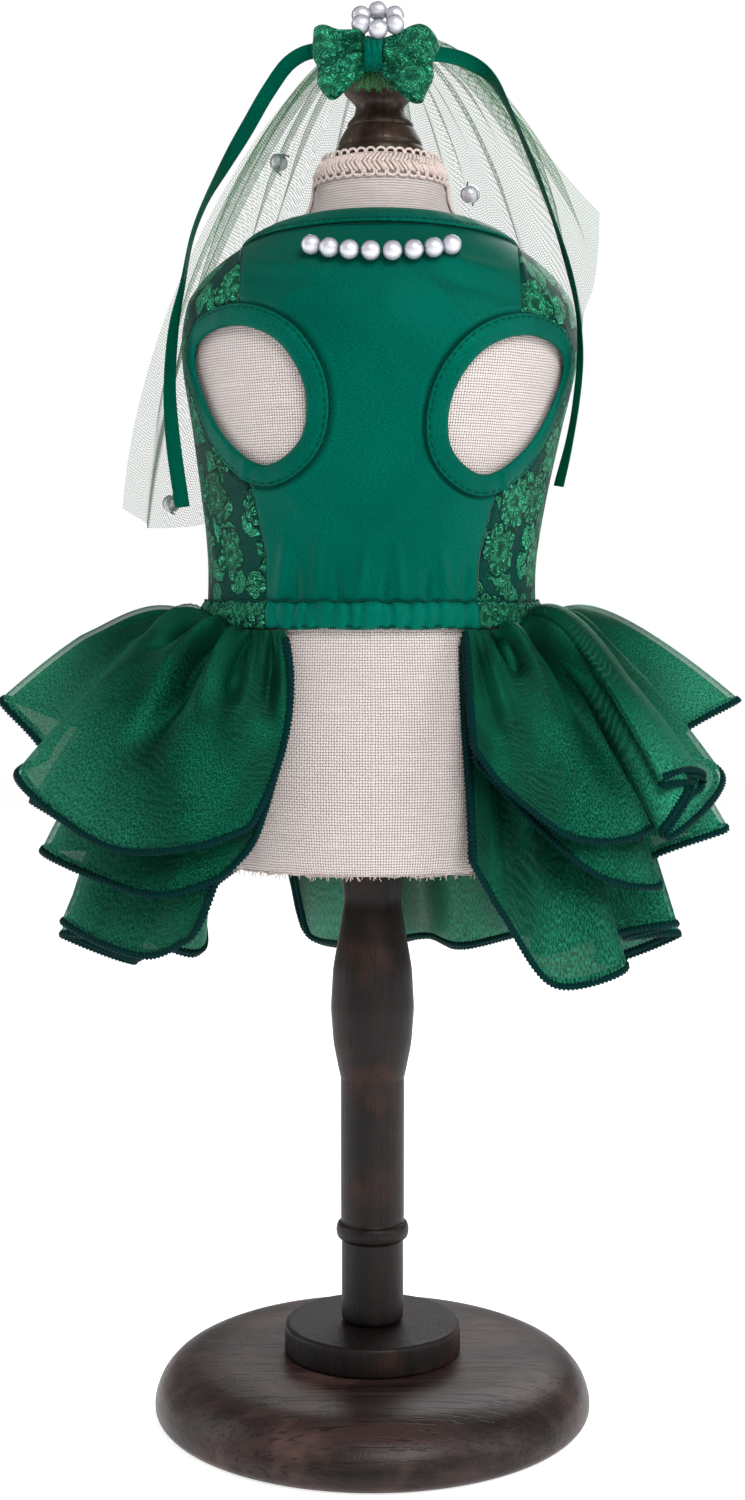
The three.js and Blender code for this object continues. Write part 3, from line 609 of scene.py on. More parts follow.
def neck_braid_cords():
    count, cords = 92, []
    for i in range(count):
        turn = 360 * i / count + rng.uniform(-0.5, 0.5)
        rise = rng.uniform(-0.12, 0.12)
        for low, high, slant in ((492.9, 496.4, 6.2), (489.9, 493.3, -6.2)):
            cords.append(([
                skin(
                    low + rise + (high - low) * t, turn + slant * (t - 0.5),
                    0.85 + 0.5 * math.sin(math.pi * t),
                )
                for t in np.linspace(0, 1, 6)
            ], 0.66))
    for edge, rise, count, size in ((496.3, 2.3, 38, 0.5), (489.9, -2.0, 38, 0.6)):
        for i in range(count):
            turn, wide = 360 * i / count + rng.uniform(-0.4, 0.4), 180 / count * 0.8
            cords.append(([
                skin(edge, turn - wide * (math.cos(math.pi * t) + 0.25 * math.sin(2 * math.pi * t)), 1.0)
                + (0, 0, rise * math.sin(math.pi * t))
                for t in np.linspace(0, 1, 11)
            ], size))
    return cords


def cords_piece(name, cords, material):
    points, faces = [], []
    for line, size in cords:
        found, sides = thread_mesh([line], size, 7)
        faces += [tuple(len(points) + i for i in side) for side in sides]
        points += found
    return make_piece(name, points, faces, material)


def band_on_form(rows, turns, off, material, name):
    z, turn = np.meshgrid(rows, turns, indexing="ij")
    points = skin(z, turn, off)
    flat_map = np.stack([turn * 0.45, z], -1) * MM
    return make_piece(name, points, grid_faces(*z.shape), material, flat_map)


neck_gimp = cords_piece("form_neck_gimp", neck_braid_cords(), braid_cotton)
neck_web = band_on_form(
    np.linspace(490.2, 496.0, 8), np.linspace(0, 360, 97), 0.55, braid_cotton, "form_neck_web",
)
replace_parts(neck_gimp, "form_neck_braid")
braids = [neck_gimp, neck_web]
for side, name in ((-1, "left"), (1, "right")):
    cords = []
    for z in np.arange(473.3, 487.6, 1.15):
        for half in (-1, 1):
            cords.append(([
                skin(
                    z + 1.9 * t, side * 90 + half * (2.5 - 4.4 * (0.5 - t)),
                    0.75 + 0.55 * math.sin(math.pi * t),
                )
                for t in np.linspace(0, 1, 6)
            ], 0.6))
    gimp = cords_piece(f"form_side_gimp_{name}", cords, braid_cotton)
    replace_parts(gimp, f"form_side_braid_{name}")
    braids.append(gimp)
for piece in braids:
    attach(piece, "root")

# ---------------------------------------------------------------------------------------------
# The belly panel: a smooth polyester satin knit, cut between the two front seams, pulled flat over
# the chest and shirred a little into the waist casing. Both leg holes take a bite from it.
WAIST, NECK_MIDDLE, NECK_RISE = 322.5, 467.0, 4.0
DRESS_OFF = 1.7  # how far the dress's face stands off the form
DEGREE = 1.22  # cloth millimetres in a degree of turn at the leg holes
SEAM = np.array(((300, 40), (340, 41.5), (370, 48.5), (410, 54), (490, 55.5)), float)
LEG_HOLE = ((46, 427), (30, 421), (21.5, 404), (23, 384), (35, 374.5), (50, 383), (62, 401), (64.5, 419))
LEG_SHIFT = {-1: 0.0, 1: -3.6}


class Curve:
    """A smooth curve through points, open or closed, read by its share of the length."""

    def __init__(self, points, closed=False, steps=200):
        self.points, self.closed = np.asarray(points, float), closed
        self.shares = np.linspace(0, 1, steps + 1)
        self.run = running(self.at(self.shares))
        self.length = self.run[-1]

    def at(self, t):
        pts, n = self.points, len(self.points)
        place = np.asarray(t, float) * (n if self.closed else n - 1)
        i = np.floor(place).astype(int)
        if not self.closed:
            i = np.clip(i, 0, n - 2)
        w = (place - i)[..., None]
        if self.closed:
            p = [pts[(i + k) % n] for k in (-1, 0, 1, 2)]
        else:
            first, last = 2 * pts[0] - pts[1], 2 * pts[-1] - pts[-2]
            longer = np.concatenate([[first], pts, [last]])
            p = [longer[i + k] for k in (0, 1, 2, 3)]
        gap = [np.maximum(((p[k + 1] - p[k]) ** 2).sum(-1) ** 0.25, 1e-4)[..., None] for k in range(3)]
        out = ((p[1] - p[0]) / gap[0] - (p[2] - p[0]) / (gap[0] + gap[1]) + (p[2] - p[1]) / gap[1]) * gap[1]
        back = ((p[2] - p[1]) / gap[1] - (p[3] - p[1]) / (gap[1] + gap[2]) + (p[3] - p[2]) / gap[2]) * gap[1]
        return (
            p[1] + out * w + (-3 * p[1] + 3 * p[2] - 2 * out - back) * w ** 2
            + (2 * p[1] - 2 * p[2] + out + back) * w ** 3
        )

    def share(self, u):
        return np.interp(np.asarray(u, float) * self.length, self.run, self.shares)

    def even(self, u):
        return self.at(self.share(u))

    def tangent(self, u):
        t = self.share(u)
        least, most = (-9, 9) if self.closed else (0, 1)
        return unit(self.at(np.minimum(t + 1e-4, most)) - self.at(np.maximum(t - 1e-4, least)))


leg_curve = Curve([(turn * DEGREE, z) for turn, z in LEG_HOLE], True)


def leg_edge(side, width, shares):
    """Heights and turns of a leg hole's edge, moved out from the hole by a width."""
    point, way = leg_curve.even(shares), leg_curve.tangent(shares)
    turn = side * (point[..., 0] + way[..., 1] * width) / DEGREE
    return point[..., 1] - way[..., 0] * width + LEG_SHIFT[side], turn


def neck_height(turn):
    return NECK_MIDDLE + NECK_RISE * np.cos(np.radians(turn))


def seam_turn(z):
    half = column(form_table, 1, place_of(z)) + DRESS_OFF
    return np.degrees(np.arcsin(np.clip(np.interp(z, SEAM[:, 0], SEAM[:, 1]) / half, 0, 0.999)))


def inside_loop(x, y, loop):
    inside = np.zeros(x.shape, bool)
    for (x0, y0), (x1, y1) in zip(loop, np.roll(loop, -1, 0)):
        crosses = (y0 > y) != (y1 > y)
        inside ^= crosses & (x < (x1 - x0) * (y - y0) / (y1 - y0 + 1e-12) + x0)
    return inside


def outside_holes(z, turn, grow=2.7):
    """Which faces of a grid of turns and heights lie clear of both leg holes."""
    mid_z = (z[:-1, :-1] + z[1:, 1:]) / 2
    mid_turn = ((turn[:-1, :-1] + turn[1:, 1:]) / 2 + 180) % 360 - 180
    keep = np.ones(mid_z.shape, bool)
    for side in (-1, 1):
        loop = np.stack(leg_edge(side, grow, np.linspace(0, 1, 121)[:-1])[::-1], -1)
        keep &= ~inside_loop(mid_turn, mid_z, loop)
    return keep


def crease(x, z, start, end, height, width):
    """A soft ridge, or a trough if its height is below zero, from start to end and fading at both."""
    (x0, z0), (x1, z1) = start, end
    way = np.array((x1 - x0, z1 - z0))
    length = np.hypot(*way)
    share = ((x - x0) * way[0] + (z - z0) * way[1]) / length ** 2
    across = ((x - x0) * way[1] - (z - z0) * way[0]) / length
    fade = np.clip(np.minimum(share + 0.25, 1.25 - share) / 0.5, 0, 1)
    fade = fade * fade * (3 - 2 * fade)
    return height * np.exp(-((across / width) ** 2)) * fade


# Tension lines from the ends of the necklace to the shoulders, dimples round the leg holes and the
# little gathers over the casing, each from its start to its end in millimetres across and up.
BELLY_CREASES = (
    ((-50, 452), (-22, 447), 0.55, 3.2), ((-46, 446), (-20, 441), -0.6, 2.6), ((52, 446),
     (24, 452), 0.6, 3.0),
    ((55, 437), (26, 443), -0.5, 3.0), ((-40, 430), (-18, 446), 0.35, 3.5), ((38, 424), (20, 444), 0.35, 3.2),
    ((-30, 395), (30, 401), 0.25, 9), ((-28, 372), (20, 366), -0.3, 7), ((26, 378), (4, 350), 0.35, 5),
    ((-34, 366), (-12, 346), 0.4, 4), ((-36, 324), (-33, 345), 0.9, 2.2), ((-29, 323), (-29, 334), -0.8, 1.6),
    ((-22, 323), (-20, 346), 0.6, 2.0), ((-13, 323), (-14, 335), -0.7, 1.8), ((-5, 323), (-3, 340), 0.7, 1.9),
    ((4, 323), (5, 333), -0.6, 1.5), ((11, 323), (9, 344), 0.7, 2.0), ((20, 323), (21, 334), -0.8, 1.7),
    ((28, 323), (26, 342), 0.8, 2.1), ((35, 323), (36, 336), -0.8, 1.7), ((0, 470), (1, 455), -0.25, 5),
)


def belly_offset(x, z):
    lift = 1.5 * sum(crease(x, z, *c) for c in BELLY_CREASES)
    return lift + 0.10 * np.sin(x * 0.33 + z * 0.05) * np.sin(z * 0.21 + 1.3)


def beside_bindings(z, turn):
    """How far the cloth is pulled down into the seam just outside each leg binding."""
    aside = ((turn + 180) % 360 - 180) * DEGREE
    near = np.full(z.shape, 99.0)
    for side in (-1, 1):
        edge_z, edge_turn = leg_edge(side, 8.3, np.linspace(0, 1, 181)[:-1])
        for ez, ex in zip(edge_z, edge_turn * DEGREE):
            near = np.minimum(near, np.hypot(aside - ex, z - ez))
    return -0.85 * np.exp(-((near / 1.0) ** 2)) + 0.35 * np.exp(-(((near - 2.6) / 1.3) ** 2))


def belly_surface():
    shares = np.linspace(-1, 1, 151)
    rows = np.linspace(0, 1, 211)
    share, row = np.meshgrid(shares, rows)
    z = WAIST - 0.5 + row * (NECK_MIDDLE + 3 - WAIST)
    for _ in range(3):  # the seam and the neckline each depend on the other
        turn = share * (seam_turn(z) - 0.15)
        z = WAIST - 0.5 + row * (neck_height(turn) - 1.5 - WAIST)
    x = skin(z, turn, DRESS_OFF)[..., 0]
    ditch = -0.75 * np.exp(-(((1 - np.abs(share)) * 48 / 0.9) ** 2))
    off = DRESS_OFF + belly_offset(x, z) * (1 - share ** 12) + ditch + beside_bindings(z, turn)
    flat_map = np.stack([turn * DEGREE, z], -1) * MM
    return skin(z, turn, off), flat_map, grid_faces(*z.shape, keep=outside_holes(z, turn))


def satin(name, dull, bright, low, speckle=0.35):
    """Satin knit: fine courses across the cloth, a soft sheen and a faint grain of brighter floats.

    The cloth is dull between its floats, bright on them and low in broad patches.
    """
    material, tree, shader = finish(
        name, Sheen_Weight=0.04, Sheen_Roughness=0.4, Sheen_Tint=(0.0, 0.8, 0.55, 1), Anisotropic=0.35,
        Specular_IOR_Level=0.3, Specular_Tint=(0.0, 0.75, 0.56, 1),
    )
    flat = flat_place(tree)
    floats = noise(tree, 1.0, 3.0, stretch(tree, flat, (900.0, 2600.0, 1.0)))
    wide = noise(tree, 22.0, 2.0, flat)
    tone = blend_colour(tree, floats.step(0.32, 0.68), dull, bright)
    tone = blend_colour(tree, wide.step(0.35, 0.7) * speckle, tone, low)
    feed(tree, shader, bump=floats, depth=0.00012, Base_Color=tone, Roughness=floats * 0.18 + 0.36)
    return material


belly_satin = satin("belly satin", (0.0, 0.060, 0.040), (0.0, 0.102, 0.069), (0.0, 0.047, 0.031))
points, flat_map, faces = belly_surface()
belly = make_piece("belly_panel_cloth", points, faces, belly_satin, flat_map)
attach(belly, "root")
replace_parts(belly, "belly_panel")

# ---------------------------------------------------------------------------------------------
# The back panel: floral brocade, woven with a bright raised pile of leaves and blooms over a dark
# ribbed ground. One piece wraps from the left front seam round the back to the right front seam.
pattern, source, result = effect(
    "brocade pattern",
    (("Flat", "Vector", None), ("Bloom", "Float", 24.0), ("Leaf", "Float", 12.5)),
    (("Colour", "Color"), ("Height", "Float"), ("Roughness", "Float")),
)
millimetres = place_sum(pattern, "SCALE", source.outputs["Flat"], Scale=1000.0)
sway = join(pattern, "ShaderNodeTexNoise", Vector=millimetres, Scale=0.22, Detail=2.0).outputs["Color"]
centred = place_sum(pattern, "SUBTRACT", sway, (0.5, 0.5, 0.5))
pushed = place_sum(pattern, "MULTIPLY_ADD", centred, (7.0, 7.0, 0.0), millimetres)


def motif_cells(tree, place, cell, randomness, seed):
    """Each motif's own place: how far across and up from its middle, and two random numbers."""
    moved = place_sum(tree, "ADD", place, seed)
    small = place_sum(tree, "SCALE", moved, Scale=cell.op("POWER", -1.0))
    cells = join(
        tree, "ShaderNodeTexVoronoi", {"voronoi_dimensions": "2D"},
        Vector=small, Scale=1.0, Randomness=randomness,
    )
    across, up = split(tree, place_sum(tree, "SUBTRACT", small, cells.outputs["Position"]))[:2]
    chance, other = split(tree, cells.outputs["Color"])[:2]
    return across * cell, up * cell, chance, other


grit = noise(pattern, 2.6, 3.0, millimetres)
bloom_cell, leaf_cell = (Wire(pattern, source.outputs[name]) for name in ("Bloom", "Leaf"))
x, y, chance, _ = motif_cells(pattern, pushed, bloom_cell, 0.75, (3.0, 11.0, 0.0))
FULL_TURN = 6.283
reach = (x * x + y * y).op("SQRT")
angle = y.op("ARCTAN2", x) + chance * FULL_TURN
petals = (angle * 2.5).op("COSINE").size().op("POWER", 0.6)
rim = (petals * 0.30 + 0.70) * 10.6 - reach
bloom = rim.step(-0.25, 0.35)
bloom_lines = ((angle * 17.0).sine() * 0.5 + 0.5) * (reach / 6.0).step(0.2, 1.0)
bloom_mark = bloom_lines.step(0.45, 0.8) * 0.8 + (rim.step(0.2, 1.1) * -1.0 + 1.0) * 0.5
heart = (reach * -1.0 + 2.6).step(-0.4, 0.8)
ring_line = ((reach - 6.1).size() * -1.0 + 0.75).step(0.0, 0.6)
u, v, turned_by, leaf_shade = motif_cells(pattern, pushed, leaf_cell, 0.85, (40.0, 7.0, 0.0))
way = turned_by * FULL_TURN
cosine, sine = way.op("COSINE"), way.sine()
a = u * cosine + v * sine
b = v * cosine - u * sine
leaf_rim = ((a / 7.4) * (a / 7.4) * -1.0 + 1.0) * 5.2 - b.size()
leaf = leaf_rim.step(-0.2, 0.3)
side_veins = ((a - b.size() * 0.9) * 2.6).sine().step(0.55, 0.95)
leaf_mark = (b.size() * -1.0 + 0.32).step(-0.1, 0.15).max(side_veins * 0.6)
leaf_only = leaf * (bloom * -1.0 + 1.0) * (rim * -1.0).step(0.7, 1.2)
raised = bloom.max(leaf_only)
mark = bloom * (bloom_mark.max(ring_line * 0.8).max(heart * 0.7)) + leaf_only * leaf_mark
floats = noise(pattern, 1.0, 2.0, stretch(pattern, pushed, (1.1, 4.2, 1.0)))
lines = (rim * bloom + leaf_rim * (bloom * -1.0 + 1.0)) * 5.6 + grit * 5.0
contour = lines.sine()
shade = bloom * chance * 0.8 + leaf_only * leaf_shade + floats * 0.5
ground_ribs = (split(pattern, millimetres)[1] * 9.0).sine() * 0.5 + 0.5
ground = blend_colour(pattern, ground_ribs * 0.6, (0.0, 0.014, 0.017), (0.001, 0.042, 0.042))
pile = blend_colour(pattern, shade.step(0.25, 0.95), (0.002, 0.088, 0.040), (0.016, 0.370, 0.180))
pile = blend_colour(pattern, (contour * -1.0).step(0.35, 0.95) * 0.75, pile, (0.0, 0.030, 0.015))
# Bright flecks along the contour lines where the grit is high: partly lighter pile threads, partly painted
# glints of light on the raised threads.
pile = blend_colour(pattern, contour.step(0.1, 0.8) * grit.step(0.40, 0.52), pile, (0.130, 0.720, 0.430))
pile = blend_colour(pattern, mark, pile, (0.0, 0.026, 0.014))
leaf_edge = (leaf_rim.size() * -1.0 + 0.45).step(0.0, 0.35) * (bloom * -1.0 + 1.0)
outline = (rim.size() * -1.0 + 0.55).step(0.0, 0.4).max(leaf_edge)
colour = blend_colour(pattern, raised, ground, pile)
colour = blend_colour(pattern, outline * 0.9, colour, (0.0, 0.010, 0.009))
connect(pattern, colour, result.inputs["Colour"])
ribs = ground_ribs * (raised * -0.12 + 0.12)
height = raised * (mark * -0.8 + 1.0) + raised * contour * 0.25 + grit * 0.35 + ribs
connect(pattern, height, result.inputs["Height"])
connect(pattern, raised * -0.10 + 0.50 - grit * 0.12, result.inputs["Roughness"])


def brocade(name, bloom_size, leaf_size, painted_lift):
    """Floral brocade with motifs of the sizes given, in millimetres, lifted toward bright green by a share of
    painted light.
    """
    material, tree, shader = finish(name, Specular_IOR_Level=0.22, Specular_Tint=(0.2, 0.95, 0.6, 1))
    motifs = place_effect(tree, pattern, Flat=flat_place(tree), Bloom=bloom_size, Leaf=leaf_size)
    # Painted light: the whole cloth is lifted toward bright green by this share.
    colour = blend_colour(tree, painted_lift, motifs.outputs["Colour"], (0.03, 0.46, 0.25))
    rough = motifs.outputs["Roughness"]
    feed(tree, shader, bump=motifs.outputs["Height"], depth=0.0014, Base_Color=colour, Roughness=rough)
    return material


panel_brocade = brocade("panel brocade", 26.0, 14.5, 0.04)

# Drags and dimples in the back panel: turn and height of start and end, height and width.
BACK_CREASES = (
    ((292, 336), (284, 372), 0.9, 4.5), ((300, 330), (296, 356), -0.8, 3.0), ((278, 330),
     (268, 380), -0.7, 4.0),
    ((64, 334), (74, 372), 0.9, 4.0), ((56, 328), (60, 352), -0.8, 3.0), ((86, 330), (92, 388), -0.7, 4.5),
    ((110, 324), (116, 372), 0.8, 4.5), ((134, 324), (128, 360), -0.8, 4.0), ((156, 324),
     (160, 384), 0.7, 5.0),
    ((182, 324), (178, 362), -0.9, 4.0), ((204, 324), (208, 378), 0.8, 5.0), ((228, 324),
     (232, 358), -0.8, 4.0),
    ((250, 324), (246, 370), 0.7, 4.5), ((60, 436), (110, 446), 0.5, 4.0), ((252, 446), (300, 436), 0.5, 4.0),
    ((96, 420), (150, 432), -0.5, 6.0), ((210, 432), (264, 420), -0.5, 6.0), ((120, 402),
     (240, 398), 0.4, 9.0),
    ((150, 452), (176, 440), 0.45, 4.0), ((212, 452), (188, 440), 0.4, 4.0),
)


def back_surface():
    shares = np.linspace(0, 1, 281)
    rows = np.linspace(0, 1, 131)
    share, row = np.meshgrid(shares, rows)
    z = WAIST - 0.5 + row * (NECK_MIDDLE - WAIST)
    for _ in range(3):
        from_turn = seam_turn(z) + 0.2
        turn = from_turn + share * (360 - 2 * from_turn)
        z = WAIST - 0.5 + row * (neck_height(turn) - 1.5 - WAIST)
    lift = sum(
        crease(turn * DEGREE, z, (s[0] * DEGREE, s[1]), (e[0] * DEGREE, e[1]), height, width)
        for s, e, height, width in BACK_CREASES
    )
    edge = np.minimum(share, 1 - share) * 340
    roll = 0.45 * np.exp(-((edge - 1.6) / 1.2) ** 2) - 0.9 * np.exp(-((edge / 0.7) ** 2))
    off = DRESS_OFF + lift * (1 - np.exp(-((edge / 4) ** 2))) + roll + beside_bindings(z, turn)
    flat_map = np.stack([turn * DEGREE, z], -1) * MM
    return skin(z, turn, off), flat_map, grid_faces(*z.shape, keep=outside_holes(z, turn))


points, flat_map, faces = back_surface()
back = make_piece("back_panel_cloth", points, faces, panel_brocade, flat_map)
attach(back, "root")
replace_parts(back, "back_panel")

# ---------------------------------------------------------------------------------------------
# The bindings: bias strips of the satin folded over the raw edges of the neck and both leg holes,
# stretched a little as they are sewn, with a row of stitches close to the turned edge.
binding_satin = satin("binding satin", (0.0, 0.060, 0.040), (0.0, 0.110, 0.074), (0.0, 0.045, 0.030), 0.5)
stitch_thread = fibrous(
    "stitch thread", 2200.0, 1.0, 0.0001, (0.0, 0.018, 0.013), (0.002, 0.060, 0.042),
    Roughness=0.6, Specular_IOR_Level=0.3, Specular_Tint=(0.1, 0.7, 0.5, 1),
)

NECK_LENGTH = 330  # millimetres round the neckline
BAND_SECTION = (
    # share across the band, height off the form
    (0.0, 0.55), (-0.02, 1.0), (0.0, 1.6), (0.06, 2.15), (0.16, 2.45), (0.32, 2.55), (0.5, 2.45), (0.68, 2.3),
    (0.80, 2.05), (0.86, 1.7), (0.90, 1.95), (0.97, 1.75), (1.0, 1.2), (1.0, 0.55),
)


def band(name, edge, width, count, ripples, overlap):
    """A folded strip along an edge; edge gives heights and turns for shares and a width."""
    shares = np.linspace(0, 1, count + 1)[:-1]
    inner_z, inner_turn = edge(0.0, shares)
    outer_z, outer_turn = edge(width, shares)
    points, flat = [], []
    for across, off in BAND_SECTION:
        wave = sum(height * np.cos(2 * math.pi * (n * shares + p)) for n, p, height in ripples)
        wave = wave * math.sin(math.pi * min(max(across, 0), 1))
        beside = (shares - overlap + 0.5) % 1 - 0.5 - 0.012
        step = np.exp(-(beside / 0.010) ** 2) * (off >= 1.1)
        points.append(skin(
            inner_z + (outer_z - inner_z) * across, inner_turn + (outer_turn - inner_turn) * across,
            DRESS_OFF + off * 0.93 + wave + step,
        ))
        flat.append(np.stack([shares * leg_curve.length, np.full(count, across * width)], -1) * MM)
    points, flat = np.stack(points, 1), np.stack(flat, 1)
    piece = make_piece(name, points, sweep(points), binding_satin, flat)
    face_outwards(piece)
    stitches = []
    pitch = 2.6 / (leg_curve.length if "leg" in name else NECK_LENGTH)
    for s in np.arange(0, 1 - pitch / 2, pitch):
        pair = np.array([s, s + pitch * 0.62])
        z0, t0 = edge(width * 0.845, pair)
        ends = skin(z0, t0, DRESS_OFF + 1.75)
        middle = (ends[0] + ends[1]) / 2
        middle = middle + middle * 0.0035 * np.array((1, 1, 0))
        stitches.append([ends[0], middle, ends[1]])
    outer = skin(*edge(width + 0.35, np.linspace(0, 1, 200)), DRESS_OFF + 0.1)
    points, faces = thread_mesh(stitches, 0.22, 5, True)
    seam_points, seam_faces = thread_mesh([outer], 0.38, 5)
    faces += [tuple(len(points) + i for i in side) for side in seam_faces]
    seam = make_piece(name + "_stitches", points + seam_points, faces, stitch_thread)
    for part in (piece, seam):
        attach(part, "root")
    return piece


# Ripples in the bindings: how many all the way round, where they start and how high they are.
LEG_RIPPLES = ((7, 0.1, 0.12), (13, 0.35, 0.10), (23, 0.7, 0.07))
NECK_RIPPLES = ((19, 0.2, 0.08), (31, 0.6, 0.08))
for side, name in ((-1, "left"), (1, "right")):
    piece = band(
        f"leg_binding_{name}_band", lambda width, shares, side=side: leg_edge(side, width, shares),
        8.1, 240, LEG_RIPPLES, 0.52,
    )
    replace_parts(piece, f"leg_binding_{name}")


def neck_edge(width, shares):
    turn = shares * 360
    return neck_height(turn) + 0.4 - width, turn


neck_band = band("neck_binding_band", neck_edge, 5.8, 260, NECK_RIPPLES, 0.47)
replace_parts(neck_band, "neck_binding")

# ---------------------------------------------------------------------------------------------
# The waist casing: the panels' lower edges turned up over elastic, so that the satin in front and
# the brocade behind draw into short uneven puckers between two stitched lines.
CASING_FOOT = 312.2
casing_brocade = brocade("casing brocade", 15.0, 8.5, 0.04)
PUFF = (
    # share up the casing, how far out of its 4 mm
    (0, 0.16), (-0.01, 0.5), (0.0, 0.78), (0.07, 0.92), (0.2, 1.02), (0.35, 1.06), (0.5, 1.07), (0.65, 1.04),
    (0.8, 0.95), (0.92, 0.8), (1.0, 0.6), (1.0, 0.16),
)


def casing(name, first, last, gathers, material, seed):
    """A gathered part of the casing, from a first turn to a last, with so many puckers."""
    count = int((last - first) * 1.6)
    turns = np.linspace(first, last, count)
    chance = np.random.default_rng(seed)
    marks = np.sort((np.arange(gathers) + chance.uniform(-0.33, 0.33, gathers)) / gathers)
    marks = marks * (last - first) + first
    depth = chance.uniform(0.7, 1.9, gathers)
    lean = chance.uniform(-1.2, 1.2, gathers)
    points, flat = [], []
    for up, off in PUFF:
        near = np.zeros(count)
        pinch = 0.45 + 0.55 * abs(2 * up - 1) ** 0.7
        for mark, deep, tilt in zip(marks, depth, lean):
            near -= deep * np.exp(-(((turns - mark - tilt * (up - 0.5)) / 1.3) ** 2)) * pinch
        out = 4.0 * off + (near + 0.55 if off > 0.4 else 0)
        z = CASING_FOOT - 0.3 + (WAIST + 0.3 - CASING_FOOT) * up + 0.25 * np.sin(turns * 0.31 + up)
        points.append(skin(z, turns, np.maximum(out, 0.3)))
        flat.append(np.stack([turns * 1.9, np.full(count, up * 14.0)], -1) * MM)
    points, flat = np.stack(points, 1), np.stack(flat, 1)
    piece = make_piece(name, points, sweep(points, False), material, flat)
    face_outwards(piece)
    return piece


casing_satin = satin("casing satin", (0.0, 0.070, 0.046), (0.001, 0.145, 0.100), (0.0, 0.050, 0.034))
turns = np.linspace(0, 360, 361)
drift = 0.35 * np.sin(0.9 * turns + 0.4 * np.sin(0.37 * turns))
waist_lines = [
    skin(WAIST + 0.1 + drift, turns, DRESS_OFF + 1.1), skin(CASING_FOOT + 0.3 + drift, turns, 3.3),
]
points, faces = thread_mesh(waist_lines, 0.42, 5)
waist_seam = make_piece("waist_casing_seams", points, faces, stitch_thread)
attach(waist_seam, "root")
belly_casing = casing("waist_casing_satin", -37, 37, 15, casing_satin, 3)
back_casing = casing("waist_casing_brocade", 37.5, 322.5, 56, casing_brocade, 5)
CASINGS = ((belly_casing, "waist_casing_belly", "satin"), (back_casing, "waist_casing_back", "brocade"))
for piece, node, slot in CASINGS:
    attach(piece, "root")
    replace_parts(piece, node)

# ---------------------------------------------------------------------------------------------
# The necklace: eight moulded pearl beads on a thread, sewn to the chest just under the neck. The
# thread's ends go down into the belly panel beside the outermost beads.
PEARL = 7.7  # across, in millimetres
pearl_gloss, tree, shader = finish(
    "pearl lustre", Roughness=0.20, Metallic=0.35, Coat_Weight=1.0, Coat_Roughness=0.05, IOR=1.6,
    Subsurface_Weight=0.1, Subsurface_Radius=(0.004, 0.003, 0.003), Subsurface_Scale=1.0,
)
edge = join(tree, "ShaderNodeLayerWeight", Blend=0.42)
cloud = noise(tree, 120.0, 2.0)
# Painted shade: the tone darkens to blue-grey where the bead turns away from view.
turned_away = Wire(tree, edge.outputs["Facing"]).step(0.1, 0.95)
tone = blend_colour(tree, turned_away, (0.66, 0.66, 0.72), (0.12, 0.13, 0.20))
tone = blend_colour(tree, cloud.step(0.5, 0.75) * 0.25, tone, (0.72, 0.66, 0.70))
feed(tree, shader, bump=cloud, depth=0.00005, Base_Color=tone)
bead_thread = fibrous(
    "bead thread", 2500.0, 1.0, 0.0001, (0.002, 0.020, 0.015), (0.02, 0.07, 0.05), Roughness=0.55,
)


def bead(name, centre, threading):
    """A pearl with its drilled hole slightly sunk at both ends of its threading line."""
    mesh = bpy.data.meshes.new(name)
    work = bmesh.new()
    bmesh.ops.create_uvsphere(work, u_segments=32, v_segments=18, radius=PEARL / 2 * MM)
    for vertex in work.verts:
        pole = abs(vertex.co.z) / (PEARL / 2 * MM)
        vertex.co.z *= 1 - 0.05 * max(0, (pole - 0.93) / 0.07)
    work.to_mesh(mesh)
    work.free()
    mesh.shade_smooth()
    mesh.materials.append(pearl_gloss)
    piece = bpy.data.objects.new(name, mesh)
    scene.collection.objects.link(piece)
    turn = Vector(threading).to_track_quat("Z", "Y").to_matrix().to_4x4()
    turn.translation = Vector(tidy_points(centre)[0] * MM)
    mesh.transform(turn)
    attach(piece, "root")
    return piece


BEADS = 8
strung = []
for i in range(BEADS):
    share = -1 + 2 * i / 7
    turn = 0.3 + share * 6.5 * 7 / 2
    centre = skin(450.6 + 2.8 * share ** 2, turn, DRESS_OFF + 0.3 + PEARL / 2)
    strung.append(centre)
for i, centre in enumerate(strung):
    ahead, behind = strung[min(i + 1, BEADS - 1)], strung[max(i - 1, 0)]
    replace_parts(bead(f"necklace_bead_{i + 1}", centre, ahead - behind), f"necklace_pearl_{i + 1}")
line = [
    skin(453.5, -26.5, DRESS_OFF), skin(453.4, -25.3, DRESS_OFF + 2.2), *strung,
    skin(453.4, 25.9, DRESS_OFF + 2.2), skin(453.5, 27.1, DRESS_OFF),
]
points, faces = thread_mesh([Curve(line).even(np.linspace(0, 1, 60))], 0.42, 6)
string = make_piece("necklace_thread", points, faces, bead_thread)
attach(string, "root")

